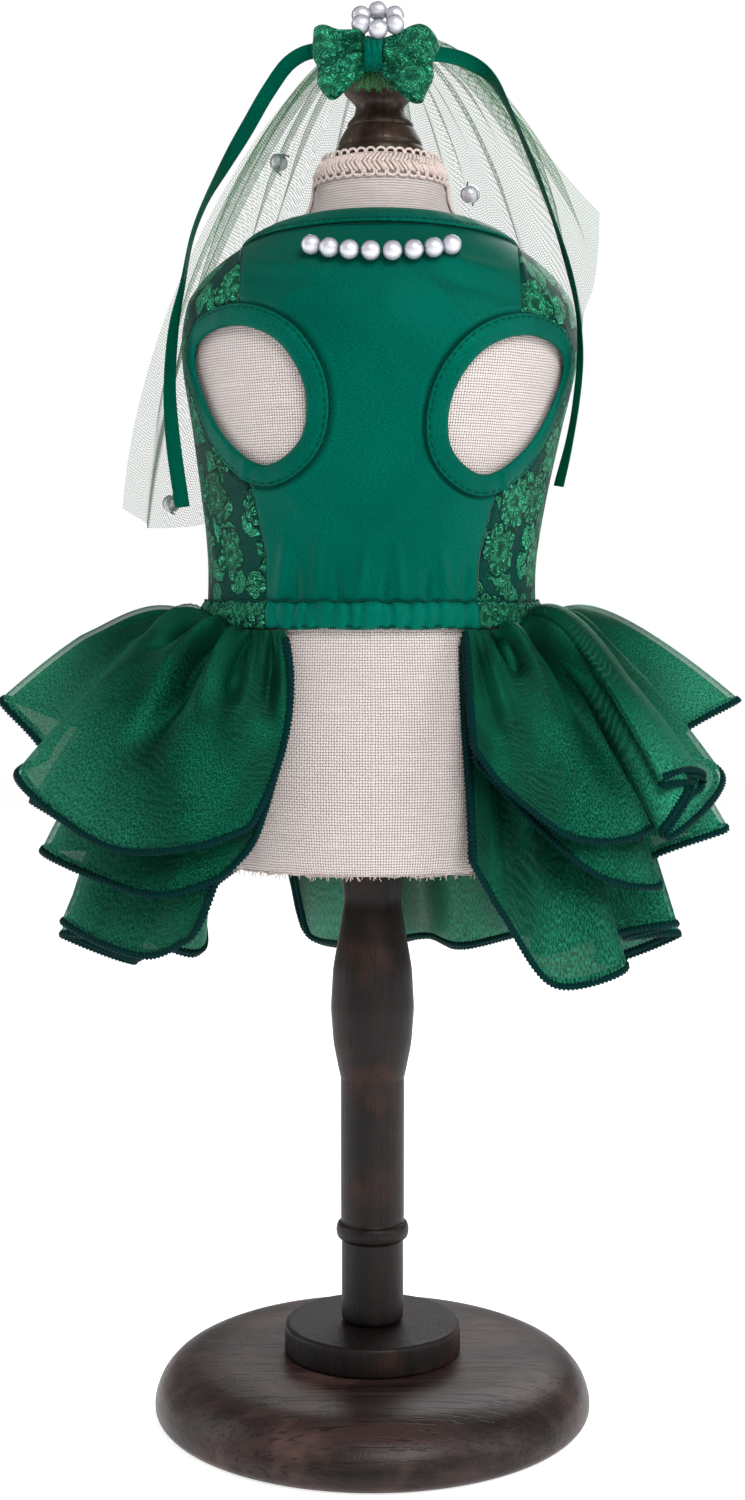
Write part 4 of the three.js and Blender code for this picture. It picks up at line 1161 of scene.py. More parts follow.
# ---------------------------------------------------------------------------------------------
# The skirt: three strips of doubled polyester organza in rising lengths, each overlocked all along
# its hem and front edges in dark thread, gathered and sewn under the waist casing.
FRONT_FOLDS = {
    # the hem's folds at the right front edge, then at the left: turn, reach, height
    "top": (
        ((35.5, 76, 264), (44, 98, 247), (56, 119, 235), (69, 131, 246), (76, 113, 257), (81, 137, 259),
         (88, 120, 266)),
        ((274, 131, 263), (286.5, 142, 256), (298, 131, 241), (308, 118, 231), (318, 98, 232),
         (325, 79, 238)),
    ),
    "middle": (
        ((34, 70, 262), (44, 84, 241), (56, 103, 219), (68.5, 118, 214), (75.5, 109, 221),
         (81.5, 141, 234), (89, 110, 230)),
        ((275, 110, 226), (285.5, 132, 227), (298, 116, 218), (308, 101, 213), (318, 84, 220),
         (324, 76, 231)),
    ),
    "under": (
        ((32.5, 70, 224), (41, 76, 203), (52, 87, 178), (66, 106, 183), (75, 91, 190), (81.5, 121, 196),
         (88, 100, 188)),
        ((276, 100, 188), (284, 124, 199), (293, 112, 192), (303, 99, 189), (312, 90, 197)),
    ),
}
TIERS = {
    # height off the form, height at the waist, reach and height of the hem, its waves, spring, level,
    # swell at the left edge and how soon it springs out
    "top": (4.3, 311.3, 133, 263, 15, 0.46, 229, 15, 0.20),
    "middle": (2.75, 309.5, 123, 222, 13, 0.1, 216, 9, 0.0),
    "under": (1.2, 307.5, 112, 168, 12, 0.05, 168, 2, 0.0),
}
UNDER_TUCKS = {9: 42, 10: 16}  # where the under tier's hem is caught up behind: wave, and how far
OPENS, ROUND_IT = 31, 300  # the turn at the waist where the tiers start, and how far round they go
# The top tier's right front lobe doubles back over itself: its hem from the front edge to the crest
# behind, with the turn at the waist that each point hangs from.
DOUBLED_LOBE = (
    # across, deep, high, turn at the waist
    (37.5, -64, 268, 31), (46.5, -68, 255.7, 34), (59, -69, 244.7, 38), (71.3, -67, 236, 42),
    (83.7, -63, 232.9, 46),
    (97.4, -57, 233.8, 50), (107.5, -51, 238.6, 53), (118, -44, 245, 56), (127.5, -36, 253, 59.5),
    (119, -49, 256.5, 60.3),
    (107.6, -58, 253.5, 61), (120.5, -53, 253.3, 62.5), (109.8, -56, 233.6, 65), (128, -40, 243.8, 69),
    (136.5, -22, 255.5, 76),
)
# Folds pressed in by the gathering: turns at the waist and where it ends, how far down it ends, how
# deep it is, and its width in degrees.
PRESSED_FOLDS = {
    "top": (
        (34.5, 35, 0.70, -2.5, 1.2), (37.5, 38, 0.85, 2.5, 1.6), (41.5, 43.0, 0.42, -10.0, 1.5),
        (46, 46.5, 0.6, 5.0, 2.4),
        (51.5, 52, 0.92, -11.0, 3.0), (56.8, 55.5, 0.85, 5.0, 2.0), (60, 58.5, 0.70, -6.0, 1.8),
        (65, 66.5, 0.6, -5.0, 1.9),
        (70, 74, 0.6, -6.0, 2.4), (78, 80, 0.6, 5.0, 3.0), (284, 279, 0.7, -5.0, 2.6),
        (292, 284, 0.70, -6.0, 2.2),
        (296.5, 289, 0.50, 4.5, 1.9), (300.5, 297, 0.55, -12.0, 2.4), (304.5, 304.5, 0.60, 6.5, 2.4),
        (308.5, 311, 0.80, -14.0, 2.7), (312.8, 315, 0.55, 6.5, 2.3), (317.0, 320.5, 0.46, -11.0, 1.9),
        (321, 322, 0.62, 5.0, 2.0), (325, 326.5, 0.50, -5.0, 1.5), (328.5, 329, 0.5, 2.0, 1.2),
    ),
    "middle": (
        (45, 46, 0.7, -4.5, 3.0), (52, 53, 1.0, 3.5, 3.0), (58, 60, 0.9, -7.0, 3.6),
        (298, 296, 0.9, 4.0, 3.0),
        (306, 308, 0.8, -6.0, 3.3), (315, 316, 0.9, 3.0, 3.0),
    ),
    "under": (
        (40, 42, 1.0, -6.0, 2.6), (46, 49, 1.0, 5.0, 2.8), (53, 55, 1.0, -5.0, 2.6),
        (60, 62, 1.0, -7.0, 3.2), (67, 69, 1.0, 4.0, 3.0),
        (300, 303, 1.0, -6.0, 2.8), (309, 312, 1.0, 4.0, 3.0), (320, 322, 1.0, -4.0, 2.6),
    ),
}
LARGE_GATHERS = (
    # count, depth, where full, where gone
    (23, 3.4, 0.16, 0.60), (37, 2.6, 0.10, 0.34), (61, 1.9, 0.05, 0.19),
)


def hem_rows(tier):
    """The hem's folds in order, from the right front edge round the back to the left."""
    out, hem, wave = TIERS[tier][2:5]
    right, left = FRONT_FOLDS[tier]
    rows = list(right)
    for i in range(15):
        turn = 95 + 172 * i / 14
        crest = (-1 if i % 2 else 1) * (1 + 0.16 * math.sin(2.3 * i + 0.7))
        side = 0.5 - 0.5 * math.cos(2 * math.radians(turn))
        tuck = UNDER_TUCKS.get(i, 0) if tier == "under" else 0
        rows.append((turn, out + crest * wave, hem + 12 * side + 7 * crest * side + tuck))
    return rows + list(left)


def hem_line(tier):
    """The hem as a curve, and the turn at the waist that each share of it hangs from."""
    rows = hem_rows(tier)
    points = [(r * math.sin(math.radians(t)), -r * math.cos(math.radians(t)), z) for t, r, z in rows]
    even = Curve(points)
    run = np.interp(np.linspace(0, 1, len(points)), even.shares, even.run)
    hangs = list(OPENS + ROUND_IT * run / even.length)
    if tier == "top":
        taken = 6  # the folds whose place the doubled lobe takes
        points = [row[:3] for row in DOUBLED_LOBE] + points[taken:]
        hangs = [row[3] for row in DOUBLED_LOBE] + hangs[taken:]
    line = Curve(points, steps=600)
    knots = np.interp(np.linspace(0, 1, len(points)), line.shares, line.run) / line.length
    return line, knots, hangs


def tier_points(tier, u, v, inward=0.0, lengthen=0.0):
    """The tier's cloth: u runs round from its right front edge to its left, v from waist to hem."""
    off, head = TIERS[tier][:2]
    lift, level, swell, rise = TIERS[tier][5:]
    u, v = np.broadcast_arrays(u, v)
    line, knots, hangs = hem_line(tier)
    end = line.even(u)
    waist = np.interp(u, knots, hangs)
    start = skin(head, waist, off - inward * 0.3)
    outward = unit((end - start) * (1, 1, 0))
    end = end + unit(end - start) * lengthen
    spring = np.clip((waist - 40) / 16, 0, 1) * np.clip((318 - waist) / 14, 0, 1)
    over = start + (0.4 - rise * spring[..., None]) * (end - start)
    over[..., 2] = start[..., 2] + lift * (1 + 3.2 * rise * spring) * (np.minimum(end[..., 2], 264) - level)
    edge = np.clip((waist - 289) / 42, 0, 1) ** 2 + np.clip((46 - waist) / 14, 0, 1)
    over[..., 0] += swell * edge * (waist > 180)
    over[..., 2] += ((start[..., 2] + end[..., 2]) / 2 - over[..., 2]) * edge
    w = v[..., None]
    point = start * (1 - w) ** 2 + over * 2 * w * (1 - w) + end * w * w
    gather = 0.9 * np.cos(2 * math.pi * 22 * (waist - OPENS) / ROUND_IT) * 4 * v * (1 - v) * (1 - v)
    point = point + outward * gather[..., None]
    face = unit(-np.cross(np.gradient(point, axis=1), np.gradient(point, axis=0)), 1e-9)
    round_it = waist / 360
    seed = {"top": 1.0, "middle": 2.3, "under": 4.1}[tier]
    lift_off = np.zeros(u.shape)
    quiet = 1 - 0.75 * ((waist < 78) | (waist > 290)) * (tier == "top")
    for k, (count, depth, top, fade) in enumerate(LARGE_GATHERS, 1):
        drift = 0.4 * np.sin(2 * math.pi * (round_it * 3.1 + seed * k))
        drift = drift + 0.35 * np.sin(2 * math.pi * (round_it * 6.3 + seed)) / k
        lies = count * round_it * 1.2 + drift + 0.25 * v * np.sin(9 * round_it + seed)
        valley = (0.5 + 0.5 * np.cos(2 * math.pi * lies)) ** 2.4
        strength = 0.6 + 0.4 * np.sin(2 * math.pi * (round_it * (4.7 + k) + seed * 2))
        strength = (quiet if k == 1 else 1) * depth * strength
        lift_off -= strength * (valley - 0.35) * np.clip(v / top, 0, 1) ** 0.8 * np.exp(-((v / fade) ** 2))
    for turn0, turn1, ends, depth, width in PRESSED_FOLDS[tier]:
        along_fold = np.clip(v / ends, 0, 1)
        centre = turn0 + (turn1 - turn0) * along_fold ** 1.2
        across = (waist - centre) / (width * (0.45 + 0.65 * along_fold))
        lift_off += depth * np.exp(-across ** 2) * np.sin(math.pi * along_fold ** 0.7) ** 0.8 * (v < ends)
    lift_off += 1.2 * np.sin(2 * math.pi * (round_it * 11 + v * 0.8) + seed) * v * (1 - v) * 2
    return point + face * (lift_off - inward * np.clip(v * 6, 0, 1))[..., None]


def organza(name, dark, light, cover):
    """Sheer organza: a haze of fine threads with moire, where cover is how much it hides face on.

    It hides more where it turns away, and less far out, and it is painted paler far out and low down: painted
    light where the thin cloth is lit through.
    """
    material, tree, shader = finish(
        name, Sheen_Weight=0.08, Sheen_Roughness=0.3, Sheen_Tint=(0.05, 0.7, 0.45, 1), Anisotropic=0.4,
        Metallic=0.35, Specular_IOR_Level=0.3, Specular_Tint=(0.1, 0.75, 0.55, 1),
    )
    flat = flat_place(tree)
    grit = noise(tree, 1500.0, 3.0, flat)
    cloud = noise(tree, 38.0, 3.0, flat)
    bands = join(
        tree, "ShaderNodeTexWave", {"wave_type": "BANDS", "bands_direction": "Y"},
        Vector=flat, Scale=140.0, Distortion=11.0, Detail=2.0, Detail_Scale=0.6,
    )
    moire = Wire(tree, bands.outputs["Fac"]).step(0.45, 0.95) * cloud.step(0.45, 0.62)
    facing = Wire(tree, join(tree, "ShaderNodeLayerWeight", Blend=0.45).outputs["Facing"])
    tone = blend_colour(tree, grit.step(0.40, 0.66), dark, light)
    tone = blend_colour(tree, cloud.step(0.38, 0.62) * 0.7, tone, tuple(c * 0.7 for c in dark))
    tone = blend_colour(tree, moire * 0.08, tone, (0.12, 0.42, 0.29))
    x, y, z = split(tree, join(tree, "ShaderNodeTexCoord").outputs["Object"])
    far_out = (x * x + y * y).op("SQRT").step(0.098, 0.136)
    # Painted light: far out and low down the tone is lifted toward pale green, as if the thin cloth were lit
    # through from behind.
    painted_glow_through = far_out.max(z.step(0.17, 0.23) * -0.6 + 0.6)
    painted_glow_through = painted_glow_through * (grit.step(0.36, 0.64) * 0.6 + 0.15)
    tone = blend_colour(tree, painted_glow_through, tone, (0.045, 0.390, 0.225))
    bare = 1 - cover
    thick = facing.step(0.15, 0.9) * (0.98 - cover) + (grit - 0.5) * (0.6 * bare) + cover
    hides = (thick - moire * (0.2 * bare) - far_out * 0.06).op("ADD", 0.0, clamp=True)
    rough = grit * 0.2 + 0.34
    feed(tree, shader, bump=grit, depth=0.00025, Base_Color=tone, Alpha=hides, Roughness=rough)
    return material


outer_organza = organza("outer organza", (0.0, 0.028, 0.014), (0.010, 0.185, 0.095), 0.58)
# The inner layer's tones are darker than the outer layer's: painted shade between the two layers.
inner_organza = organza("inner organza", (0.0, 0.030, 0.014), (0.001, 0.085, 0.040), 0.965)
overlock, tree, shader = finish(
    "overlock thread", Roughness=0.55, Specular_IOR_Level=0.2, Specular_Tint=(0.15, 0.7, 0.6, 1),
)
twist = noise(tree, 1700.0, 2.0)
tone = blend_colour(tree, twist.step(0.35, 0.7), (0.0, 0.004, 0.005), (0.001, 0.036, 0.036))
feed(tree, shader, bump=twist, depth=0.0002, Base_Color=tone)


def overlock_edge(name, path, across_to, wide=1.3, thick=0.78, pitch=1.7):
    """An overlocked edge: threads wrapped over the cloth's edge, one stitch after another."""
    line = Curve(path, steps=len(path) * 2)
    count = int(line.length / 0.55)
    shares = np.linspace(0, 1, count)
    centre, way = line.even(shares), line.tangent(shares)
    span = np.interp(shares, line.run / line.length, np.arange(len(line.run)) / (len(line.run) - 1))
    place = span * (len(path) - 1)
    inwards = np.stack([np.interp(place, np.arange(len(path)), across_to[:, k]) for k in range(3)], -1)
    inwards = unit(inwards - way * (inwards * way).sum(-1, keepdims=True))
    normal = np.cross(way, inwards)
    angle = np.linspace(0, 2 * math.pi, 8)[:-1]
    phase = shares * line.length / pitch * 2 * math.pi
    bulge = 1 + 0.30 * np.cos(phase[:, None] + 1.3 * np.cos(angle)[None])
    set_in = 0.45  # how far in from the cloth's edge the stitches' middle lies
    points = (
        centre[:, None]
        + inwards[:, None] * (wide * np.cos(angle) * bulge)[..., None]
        + inwards[:, None] * set_in
        + normal[:, None] * (thick * np.sin(angle) * bulge)[..., None]
    )
    piece = make_piece(name, points, sweep(points, False), overlock)
    face_outwards(piece)
    return piece


LAYERS = (
    # name, how far inside the outer one, how much longer, cloth
    ("outer", 0.0, 0.0, outer_organza), ("inner", 1.7, -1.8, inner_organza),
)
for tier in TIERS:
    columns, rows = (560, 36) if tier == "top" else (360, 26)
    layers = []
    for layer, inward, lengthen, fabric in LAYERS:
        shares = np.linspace(0, 1, columns)
        shares = shares - 0.035 * np.sin(2 * math.pi * shares)
        u, v = np.meshgrid(shares, np.linspace(0, 1, rows) ** 1.15)
        points = tier_points(tier, u, v, inward, lengthen)
        run = running(points, 1)
        flat_map = np.stack([np.broadcast_to(run[-1], run.shape), v * 90], -1) * MM
        name = f"skirt_{tier}_{layer}"
        cloth = make_piece(name, points, grid_faces(rows, columns), fabric, flat_map)
        edge = np.concatenate([points[1:, 0], points[-1, 1:-1], points[1:, -1][::-1]])
        inner = np.concatenate([points[1:, 4], points[-4, 1:-1], points[1:, -5][::-1]])
        hem = overlock_edge(name + "_overlock", edge[::2], (inner - edge)[::2])
        for piece in (cloth, hem):
            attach(piece, "root")
        layers.append(cloth)
    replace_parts(layers[0], f"skirt_{tier}_tier")

# ---------------------------------------------------------------------------------------------
# The veil: one piece of soft nylon tulle, gathered tightly at its top, spread over the back of the
# neck and shoulders and cut raw along its hem. The gather is sewn behind the bow.
VEIL_HEM = np.array((
    # turn, reach, height, height each fold springs to, how far out it hangs half way down
    (97, 93, 480, 562, 0.6), (100, 92, 461, 562, 0.75), (104, 90, 442, 557, 0.82), (111, 93, 430, 555, 0.85),
    (120, 87, 417, 553, 0.9), (130, 93, 405, 552, 0.88), (141, 85, 395, 551, 0.9), (153, 92, 386, 550, 0.86),
    (165, 84, 378, 549, 0.9), (177, 91, 371, 549, 0.86), (189, 84, 366, 548, 0.9), (201, 91, 362, 548, 0.86),
    (213, 85, 359, 548, 0.92), (225, 94, 357, 548, 0.88), (237, 92, 354, 548, 0.92),
    (248, 100, 353, 548, 0.87),
    (257, 96, 354, 548, 0.95), (264, 102, 360, 548, 0.97),
), float)
veil_hem = Curve([
    (reach * math.sin(math.radians(turn)), -reach * math.cos(math.radians(turn)), z)
    for turn, reach, z in VEIL_HEM[:, :3]
])
GATHERED_AT = 544.9  # the height of the gather
# Sharp pleats of the veil: place along it, drift to the hem, where it ends, how high and how wide.
VEIL_PLEATS = (
    (0.045, 0.02, 0.7, 4.5, 0.012), (0.085, -0.01, 0.95, 6.0, 0.011), (0.122, 0.0, 0.80, 9.5, 0.015),
    (0.165, 0.01, 0.9, 7.5, 0.012),
    (0.19, 0.02, 0.6, 4.5, 0.009), (0.26, 0.01, 0.8, 4.0, 0.008), (0.36, -0.01, 0.7, 4.0, 0.009),
    (0.47, 0.01, 0.8, 4.5, 0.009),
    (0.58, 0.0, 0.7, 4.0, 0.008), (0.68, -0.01, 0.8, 4.5, 0.009), (0.78, 0.01, 0.6, 4.0, 0.009),
    (0.835, 0.0, 0.7, 6.5, 0.012),
    (0.885, 0.01, 0.95, 9.0, 0.014), (0.93, 0.0, 0.75, 6.0, 0.010), (0.965, -0.01, 0.9, 4.0, 0.008),
)


def veil_points(u, v, creased=True):
    """The veil: u runs along its hem from the right edge to the left, v from the gather to the hem."""
    u, v = np.broadcast_arrays(np.asarray(u, float), v)
    share = np.clip(u, 0, 1)
    row = veil_hem.share(share) * (len(VEIL_HEM) - 1)
    end = veil_hem.at(veil_hem.share(share))
    turn = np.arctan2(end[..., 0], -end[..., 1])
    reach = np.hypot(end[..., 0], end[..., 1])

    def at(far, z):
        out = reach * far
        return np.stack([FINIAL_LEAN + out * np.sin(turn), -out * np.cos(turn), z + 0 * reach], -1)

    start = at(6 / reach, GATHERED_AT)
    over = at(0.32, column(VEIL_HEM, 3, row))
    down = at(column(VEIL_HEM, 4, row), (end[..., 2] + GATHERED_AT) / 2)
    w = v[..., None]
    point = start * (1 - w) ** 3 + over * 3 * w * (1 - w) ** 2 + down * 3 * w * w * (1 - w) + end * w ** 3
    if not creased:
        return point
    out = np.stack([np.sin(turn), -np.cos(turn), 0 * turn], -1)
    folds = 1.3 * np.sin(2 * math.pi * (5 * u + 0.9 * v)) * v
    for height, waves, full, fade in (
        (1.5, 13 * u + 0.1 * np.sin(9 * u), 0.12, 0.8),
        (1.0, 23 * u + 0.3, 0.08, 0.42),
        (0.6, 41 * u + 0.6, 0.05, 0.22),
    ):
        ripple = height * np.sin(2 * math.pi * waves)
        folds = folds + ripple * np.clip(v / full, 0, 1) * np.exp(-((v / fade) ** 2))
    ends = np.clip(np.minimum(u, 1 - u) / 0.03, 0.25, 1)
    aside = np.stack([np.cos(turn), np.sin(turn), 0 * turn], -1)
    sway = 0
    for at_u, drift, until, lift, width in VEIL_PLEATS:
        centre = at_u + drift * v
        near = (u - centre) / (width * (0.5 + 0.8 * v))
        strength = np.clip(v / 0.1, 0, 1) * np.clip((until - v) / 0.25, 0, 1) * np.exp(-near ** 2)
        folds = folds + lift * strength
        sway = sway + lift * 0.9 * near * strength
    return point + out * (folds * ends)[..., None] + aside * (sway * ends)[..., None]


tulle, tree, shader = finish("veil tulle", Roughness=0.7, Sheen_Weight=0.15, Specular_IOR_Level=0.2)
flat = flat_place(tree)
net = join(
    tree, "ShaderNodeTexVoronoi", {"voronoi_dimensions": "2D", "feature": "DISTANCE_TO_EDGE"},
    Vector=flat, Scale=900.0, Randomness=0.2,
)
yarn = Wire(tree, net.outputs["Distance"]).step(0.07, 0.20) * -1.0 + 1.0
cloud = noise(tree, 30.0, 2.0, flat)
facing = Wire(tree, join(tree, "ShaderNodeLayerWeight", Blend=0.5).outputs["Facing"])
turned_away = facing.step(0.45, 0.95)
tone = blend_colour(tree, turned_away, (0.03, 0.23, 0.07), (0.02, 0.30, 0.02))
tone = blend_colour(tree, cloud.step(0.4, 0.7) * 0.3, tone, (0.22, 0.42, 0.32))
hides = (yarn * 0.46 + (turned_away * 0.7 + 0.05)).op("ADD", 0.0, clamp=True)
feed(tree, shader, bump=yarn, depth=0.0002, Base_Color=tone, Alpha=hides)

columns, rows = 430, 66
u, v = np.meshgrid(np.linspace(0, 1, columns), np.linspace(0, 1, rows) ** 1.25)
points = veil_points(u, v)
run_across = np.broadcast_to(running(points[-1]), u.shape)
flat_map = np.stack([run_across * (0.35 + 0.65 * v), running(points)], -1) * MM
veil = make_piece("veil_net", points, grid_faces(rows, columns), tulle, flat_map)
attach(veil, "root")
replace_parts(veil, "veil_tulle")

# ---------------------------------------------------------------------------------------------
# The bow: a strip of the brocade folded back on itself and pinched, with a satin band round the
# pinch. Its two satin ribbons run from behind the knot down both sides, to tie round the neck.
# The bow's brocade is lifted further toward bright green than the panel's: painted light on the bow.
bow_brocade = brocade("bow brocade", 15.0, 8.0, 0.16)


def thicken(piece, thickness, offset=0):
    """Gives a cloth its thickness in millimetres, half on each side or, at -1, all behind its face."""
    wall = piece.modifiers.new("cloth", "SOLIDIFY")
    wall.thickness = thickness * MM
    wall.offset = offset


def bow_points(side, length, droop, u, v):
    """A loop: u runs out along its front leaf and home along its back leaf, v runs up it."""
    out = np.sin(math.pi * u)
    across = 1 - 2 * v
    half = 6.9 + 5.0 * np.clip(out / 0.75, 0, 1) ** 0.8 - 0.9 * np.clip((out - 0.8) / 0.2, 0, 1) ** 2
    leaf = np.where(u < 0.5, 1.0, -1.0)
    fullness = 5.4 * np.sin(2 * math.pi * u) * (0.75 + 0.25 * out) * (1 - 0.30 * np.abs(across) ** 3)
    near_knot = np.exp(-((out / 0.55) ** 2))
    pleats = (
        2.6 * np.cos(across * 5.2 + 0.6 * side) * near_knot
        + 1.3 * np.cos(across * 10.5 + side * 1.4) * np.exp(-((out / 0.40) ** 2))
        - 2.4 * np.exp(-(((across + 0.10 - 0.7 * (out - 0.5)) / 0.17) ** 2)) * np.sin(math.pi * out)
        + 1.6 * np.exp(-(((across - 0.45 + 0.5 * (out - 0.5)) / 0.15) ** 2)) * np.sin(math.pi * out)
        + 0.8 * np.sin(across * 5.0 + out * 5 + side)
    ) * np.clip(out / 0.08, 0, 1) * np.clip(np.abs(u - 0.5) / 0.07, 0, 1)
    corners = 1 - 0.10 * np.abs(across) ** 6
    reach = length * out * (0.93 - 0.12 * across - 0.03 * np.cos(across * 7 + side)) * corners
    sag = droop * out * (1 + 0.45 * across) + 1.1 * np.sin(out * 5.5 + side) * (across < 0) * across ** 2
    return np.stack([
        side * (3.2 + reach),
        -24.4 - fullness - 0.75 * np.cos(math.pi * u) - leaf * pleats * 1.1,
        535.0 - sag - half * across,
    ], -1)


columns, rows = 121, 45
for side, name, length, droop in ((-1, "left", 20, 3.6), (1, "right", 21.8, 5)):
    u, v = np.meshgrid(np.linspace(0, 1, columns), np.linspace(0, 1, rows))
    points = bow_points(side, length, droop, u, v)
    flat_map = np.stack([running(points, 1) + (90 if side > 0 else 0), (1 - v) * 27], -1) * MM
    loop = make_piece(f"bow_loop_{name}_cloth", points, grid_faces(rows, columns), bow_brocade, flat_map)
    thicken(loop, 0.9)
    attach(loop, "root")
    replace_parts(loop, f"bow_loop_{name}")

# The veil's gathered end, a small ruffle of net that shows under the knot.
columns, rows = 140, 12
u, v = np.meshgrid(np.linspace(0, 1, columns), np.linspace(0, 1, rows))
ruffle = 1.9 * np.sin(2 * math.pi * 6.5 * u + 1.2 * v) * (0.35 + 0.65 * v)
ruffle = ruffle + 0.7 * np.sin(2 * math.pi * 17 * u)
points = np.stack([
    (u - 0.5) * (9.5 + 5 * v) + 0.8 * np.sin(2 * math.pi * 13 * u + 0.8),
    -20.8 - ruffle * 0.8,
    533 - 10.5 * v - 0.9 * np.sin(2 * math.pi * 3.3 * u),
], -1)
flat_map = np.stack([u * 60, v * 10], -1) * MM
gather = make_piece("veil_gather", points, grid_faces(rows, columns), tulle, flat_map)
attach(gather, "root")

SIDES_OF_KNOT, COLUMNS = 96, 25
turns = np.linspace(0, 2 * math.pi, SIDES_OF_KNOT + 1)[:-1]
half_width = 3.7 - 0.45 * np.abs(np.cos(turns)) ** 3
points, flat = [], []
for x in np.linspace(-1, 1, COLUMNS):
    folds = 0.22 * np.sin(x * 9 + np.sin(turns * 3)) + 0.28 * (1 - x * x)
    points.append(np.stack([
        x * half_width, -24.2 - (5.9 + folds) * np.cos(turns), 535.4 + (5.6 + folds) * np.sin(turns),
    ], -1))
    flat.append(np.stack([turns * 5.7, np.full(SIDES_OF_KNOT, (x + 1) * 3.7)], -1) * MM)
faces = grid_faces(COLUMNS, SIDES_OF_KNOT, True)
knot = make_piece("bow_knot_band", np.stack(points), faces, binding_satin, np.stack(flat))
thicken(knot, 0.9, -1)
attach(knot, "root")
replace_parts(knot, "bow_knot")

RIBBONS = {
    # across, deep, high, twist in degrees, from behind the knot to each free end
    "left": (
        (-1.4, -17.5, 534.6, 0), (-13, -17.6, 537.4, 5), (-24, -16.8, 538.2, 10), (-32.5, -14, 534.6, 14),
        (-41, -10, 524.5, 14), (-49.5, -8, 510.5, 22), (-58.5, -9, 495, 50), (-66, -12, 480, 78),
        (-71, -16, 465, 84),
        (-74.2, -20, 446, 74), (-77.4, -24, 428, 58), (-78.8, -25.5, 406, 40), (-77.4, -25.5, 384, 24),
        (-73.8, -26, 359, 16),
    ),
    "right": (
        (1.4, -17.5, 534.6, 0), (14, -17.6, 536.6, 5), (27, -16.8, 537, 10), (38, -13, 535, 26),
        (47, -10, 529.5, 62),
        (55, -9, 515.5, 80), (62, -10, 499, 83), (69, -13, 479.5, 84), (75.6, -18, 458, 82),
        (79.8, -23, 438, 80),
        (80.8, -27, 419, 76), (79, -28, 400, 70), (76, -28, 383, 64), (72, -28, 367, 58),
    ),
}
HALF_RIBBON = 2.9  # half the ribbon's width
ribbon_satin = satin("ribbon satin", (0.0, 0.042, 0.023), (0.0, 0.090, 0.050), (0.0, 0.026, 0.013), 0.5)
for side, (name, rows) in zip((-1, 1), RIBBONS.items()):
    table = np.array(rows, float)
    line = Curve(table[:, :3])
    count = 260
    t = line.share(np.linspace(0, 1, count))
    centre, way = line.at(t), line.tangent(np.linspace(0, 1, count))
    twist = np.radians(column(table, 3, t * (len(rows) - 1)))
    across = unit(np.stack([way[:, 2], 0 * way[:, 2], -way[:, 0]], -1))
    wide = across * np.cos(twist)[:, None] + np.array((0, side, 0)) * np.sin(twist)[:, None]
    wide = unit(wide - way * (wide * way).sum(1, keepdims=True))
    normal = np.cross(wide, way)
    places = np.linspace(-1, 1, 13)
    run = np.linspace(0, line.length, count)
    cup = 0.35 * np.sin(run / 23 + side)[:, None] * (places ** 2 - 0.4)
    cup = cup + 0.15 * np.sin(run[:, None] / 7 + places * 2)
    selvedge = 0.15 * np.exp(-(((1 - np.abs(places)) / 0.12) ** 2))
    aside = places * HALF_RIBBON
    raised = normal[:, None] * (cup + selvedge)[..., None]
    points = centre[:, None] + wide[:, None] * aside[None, :, None] + raised
    flat_map = np.stack(np.broadcast_arrays(run[:, None], aside[None]), -1) * MM
    faces = grid_faces(count, len(places))
    ribbon = make_piece(f"ribbon_{name}_strip", points, faces, ribbon_satin, flat_map)
    thicken(ribbon, 0.4)
    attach(ribbon, "root")
    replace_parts(ribbon, f"ribbon_{name}")

# ---------------------------------------------------------------------------------------------
# The loose pearls: a ring of six threaded and sewn to the top of the bow, and five sewn one by one
# to the tulle, each with a knot of dark thread.
RING_BEADS, RING_RADIUS, RING_LEAN = 6, 7.6, math.radians(42)
ring_line = []
for i in range(RING_BEADS):
    turn = 2 * math.pi * i / RING_BEADS
    back = -RING_RADIUS * math.cos(turn)
    ring_line.append((
        2.2 + RING_RADIUS * math.sin(turn),
        -23.85 + back * math.cos(RING_LEAN),
        548.7 + back * math.sin(RING_LEAN),
    ))
for i, centre in enumerate(ring_line):
    ahead = np.array(ring_line[(i + 1) % RING_BEADS]) - ring_line[i - 1]
    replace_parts(bead(f"bow_bead_{i + 1}", centre, ahead), f"bow_pearl_{i + 1}")
points, faces = thread_mesh([Curve([*ring_line, ring_line[0]]).even(np.linspace(0, 1, 60))], 0.75, 6)
ring_thread = make_piece("bow_bead_thread", points, faces, bead_thread)
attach(ring_thread, "root")

VEIL_BEADS = (
    # place along the veil and down it, and its outer or inner face
    (0.842, 0.425, 1), (0.42, 0.463, 1), (0.33, 0.543, -1), (0.335, 0.552, 1), (0.873, 0.966, 1),
)
knots = []
for i, (u, v, side) in enumerate(VEIL_BEADS, 1):
    point = veil_points(u, v, False)
    aside = veil_points(u + 0.01, v, False) - veil_points(u - 0.01, v, False)
    down = veil_points(u, v + 0.01, False) - veil_points(u, v - 0.01, False)
    normal = unit(np.cross(aside, down))
    if normal @ (point * (1, 1, 0)) < 0:
        normal = -normal
    centre = point + normal * side * (PEARL / 2 + (0.25 if side > 0 else 0.95))
    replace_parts(bead(f"veil_bead_{i}", centre, down), f"veil_pearl_{i}")
    normal, down = normal * side, unit(down)
    for way in (-down, down):
        knots.append([point + way * 4.1 + normal * 0.2, point + way * 3.9 + normal * 2.0, centre + way * 3.7])
points, faces = thread_mesh(knots, 0.32, 6)
knotted = make_piece("veil_bead_threads", points, faces, bead_thread)
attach(knotted, "root")

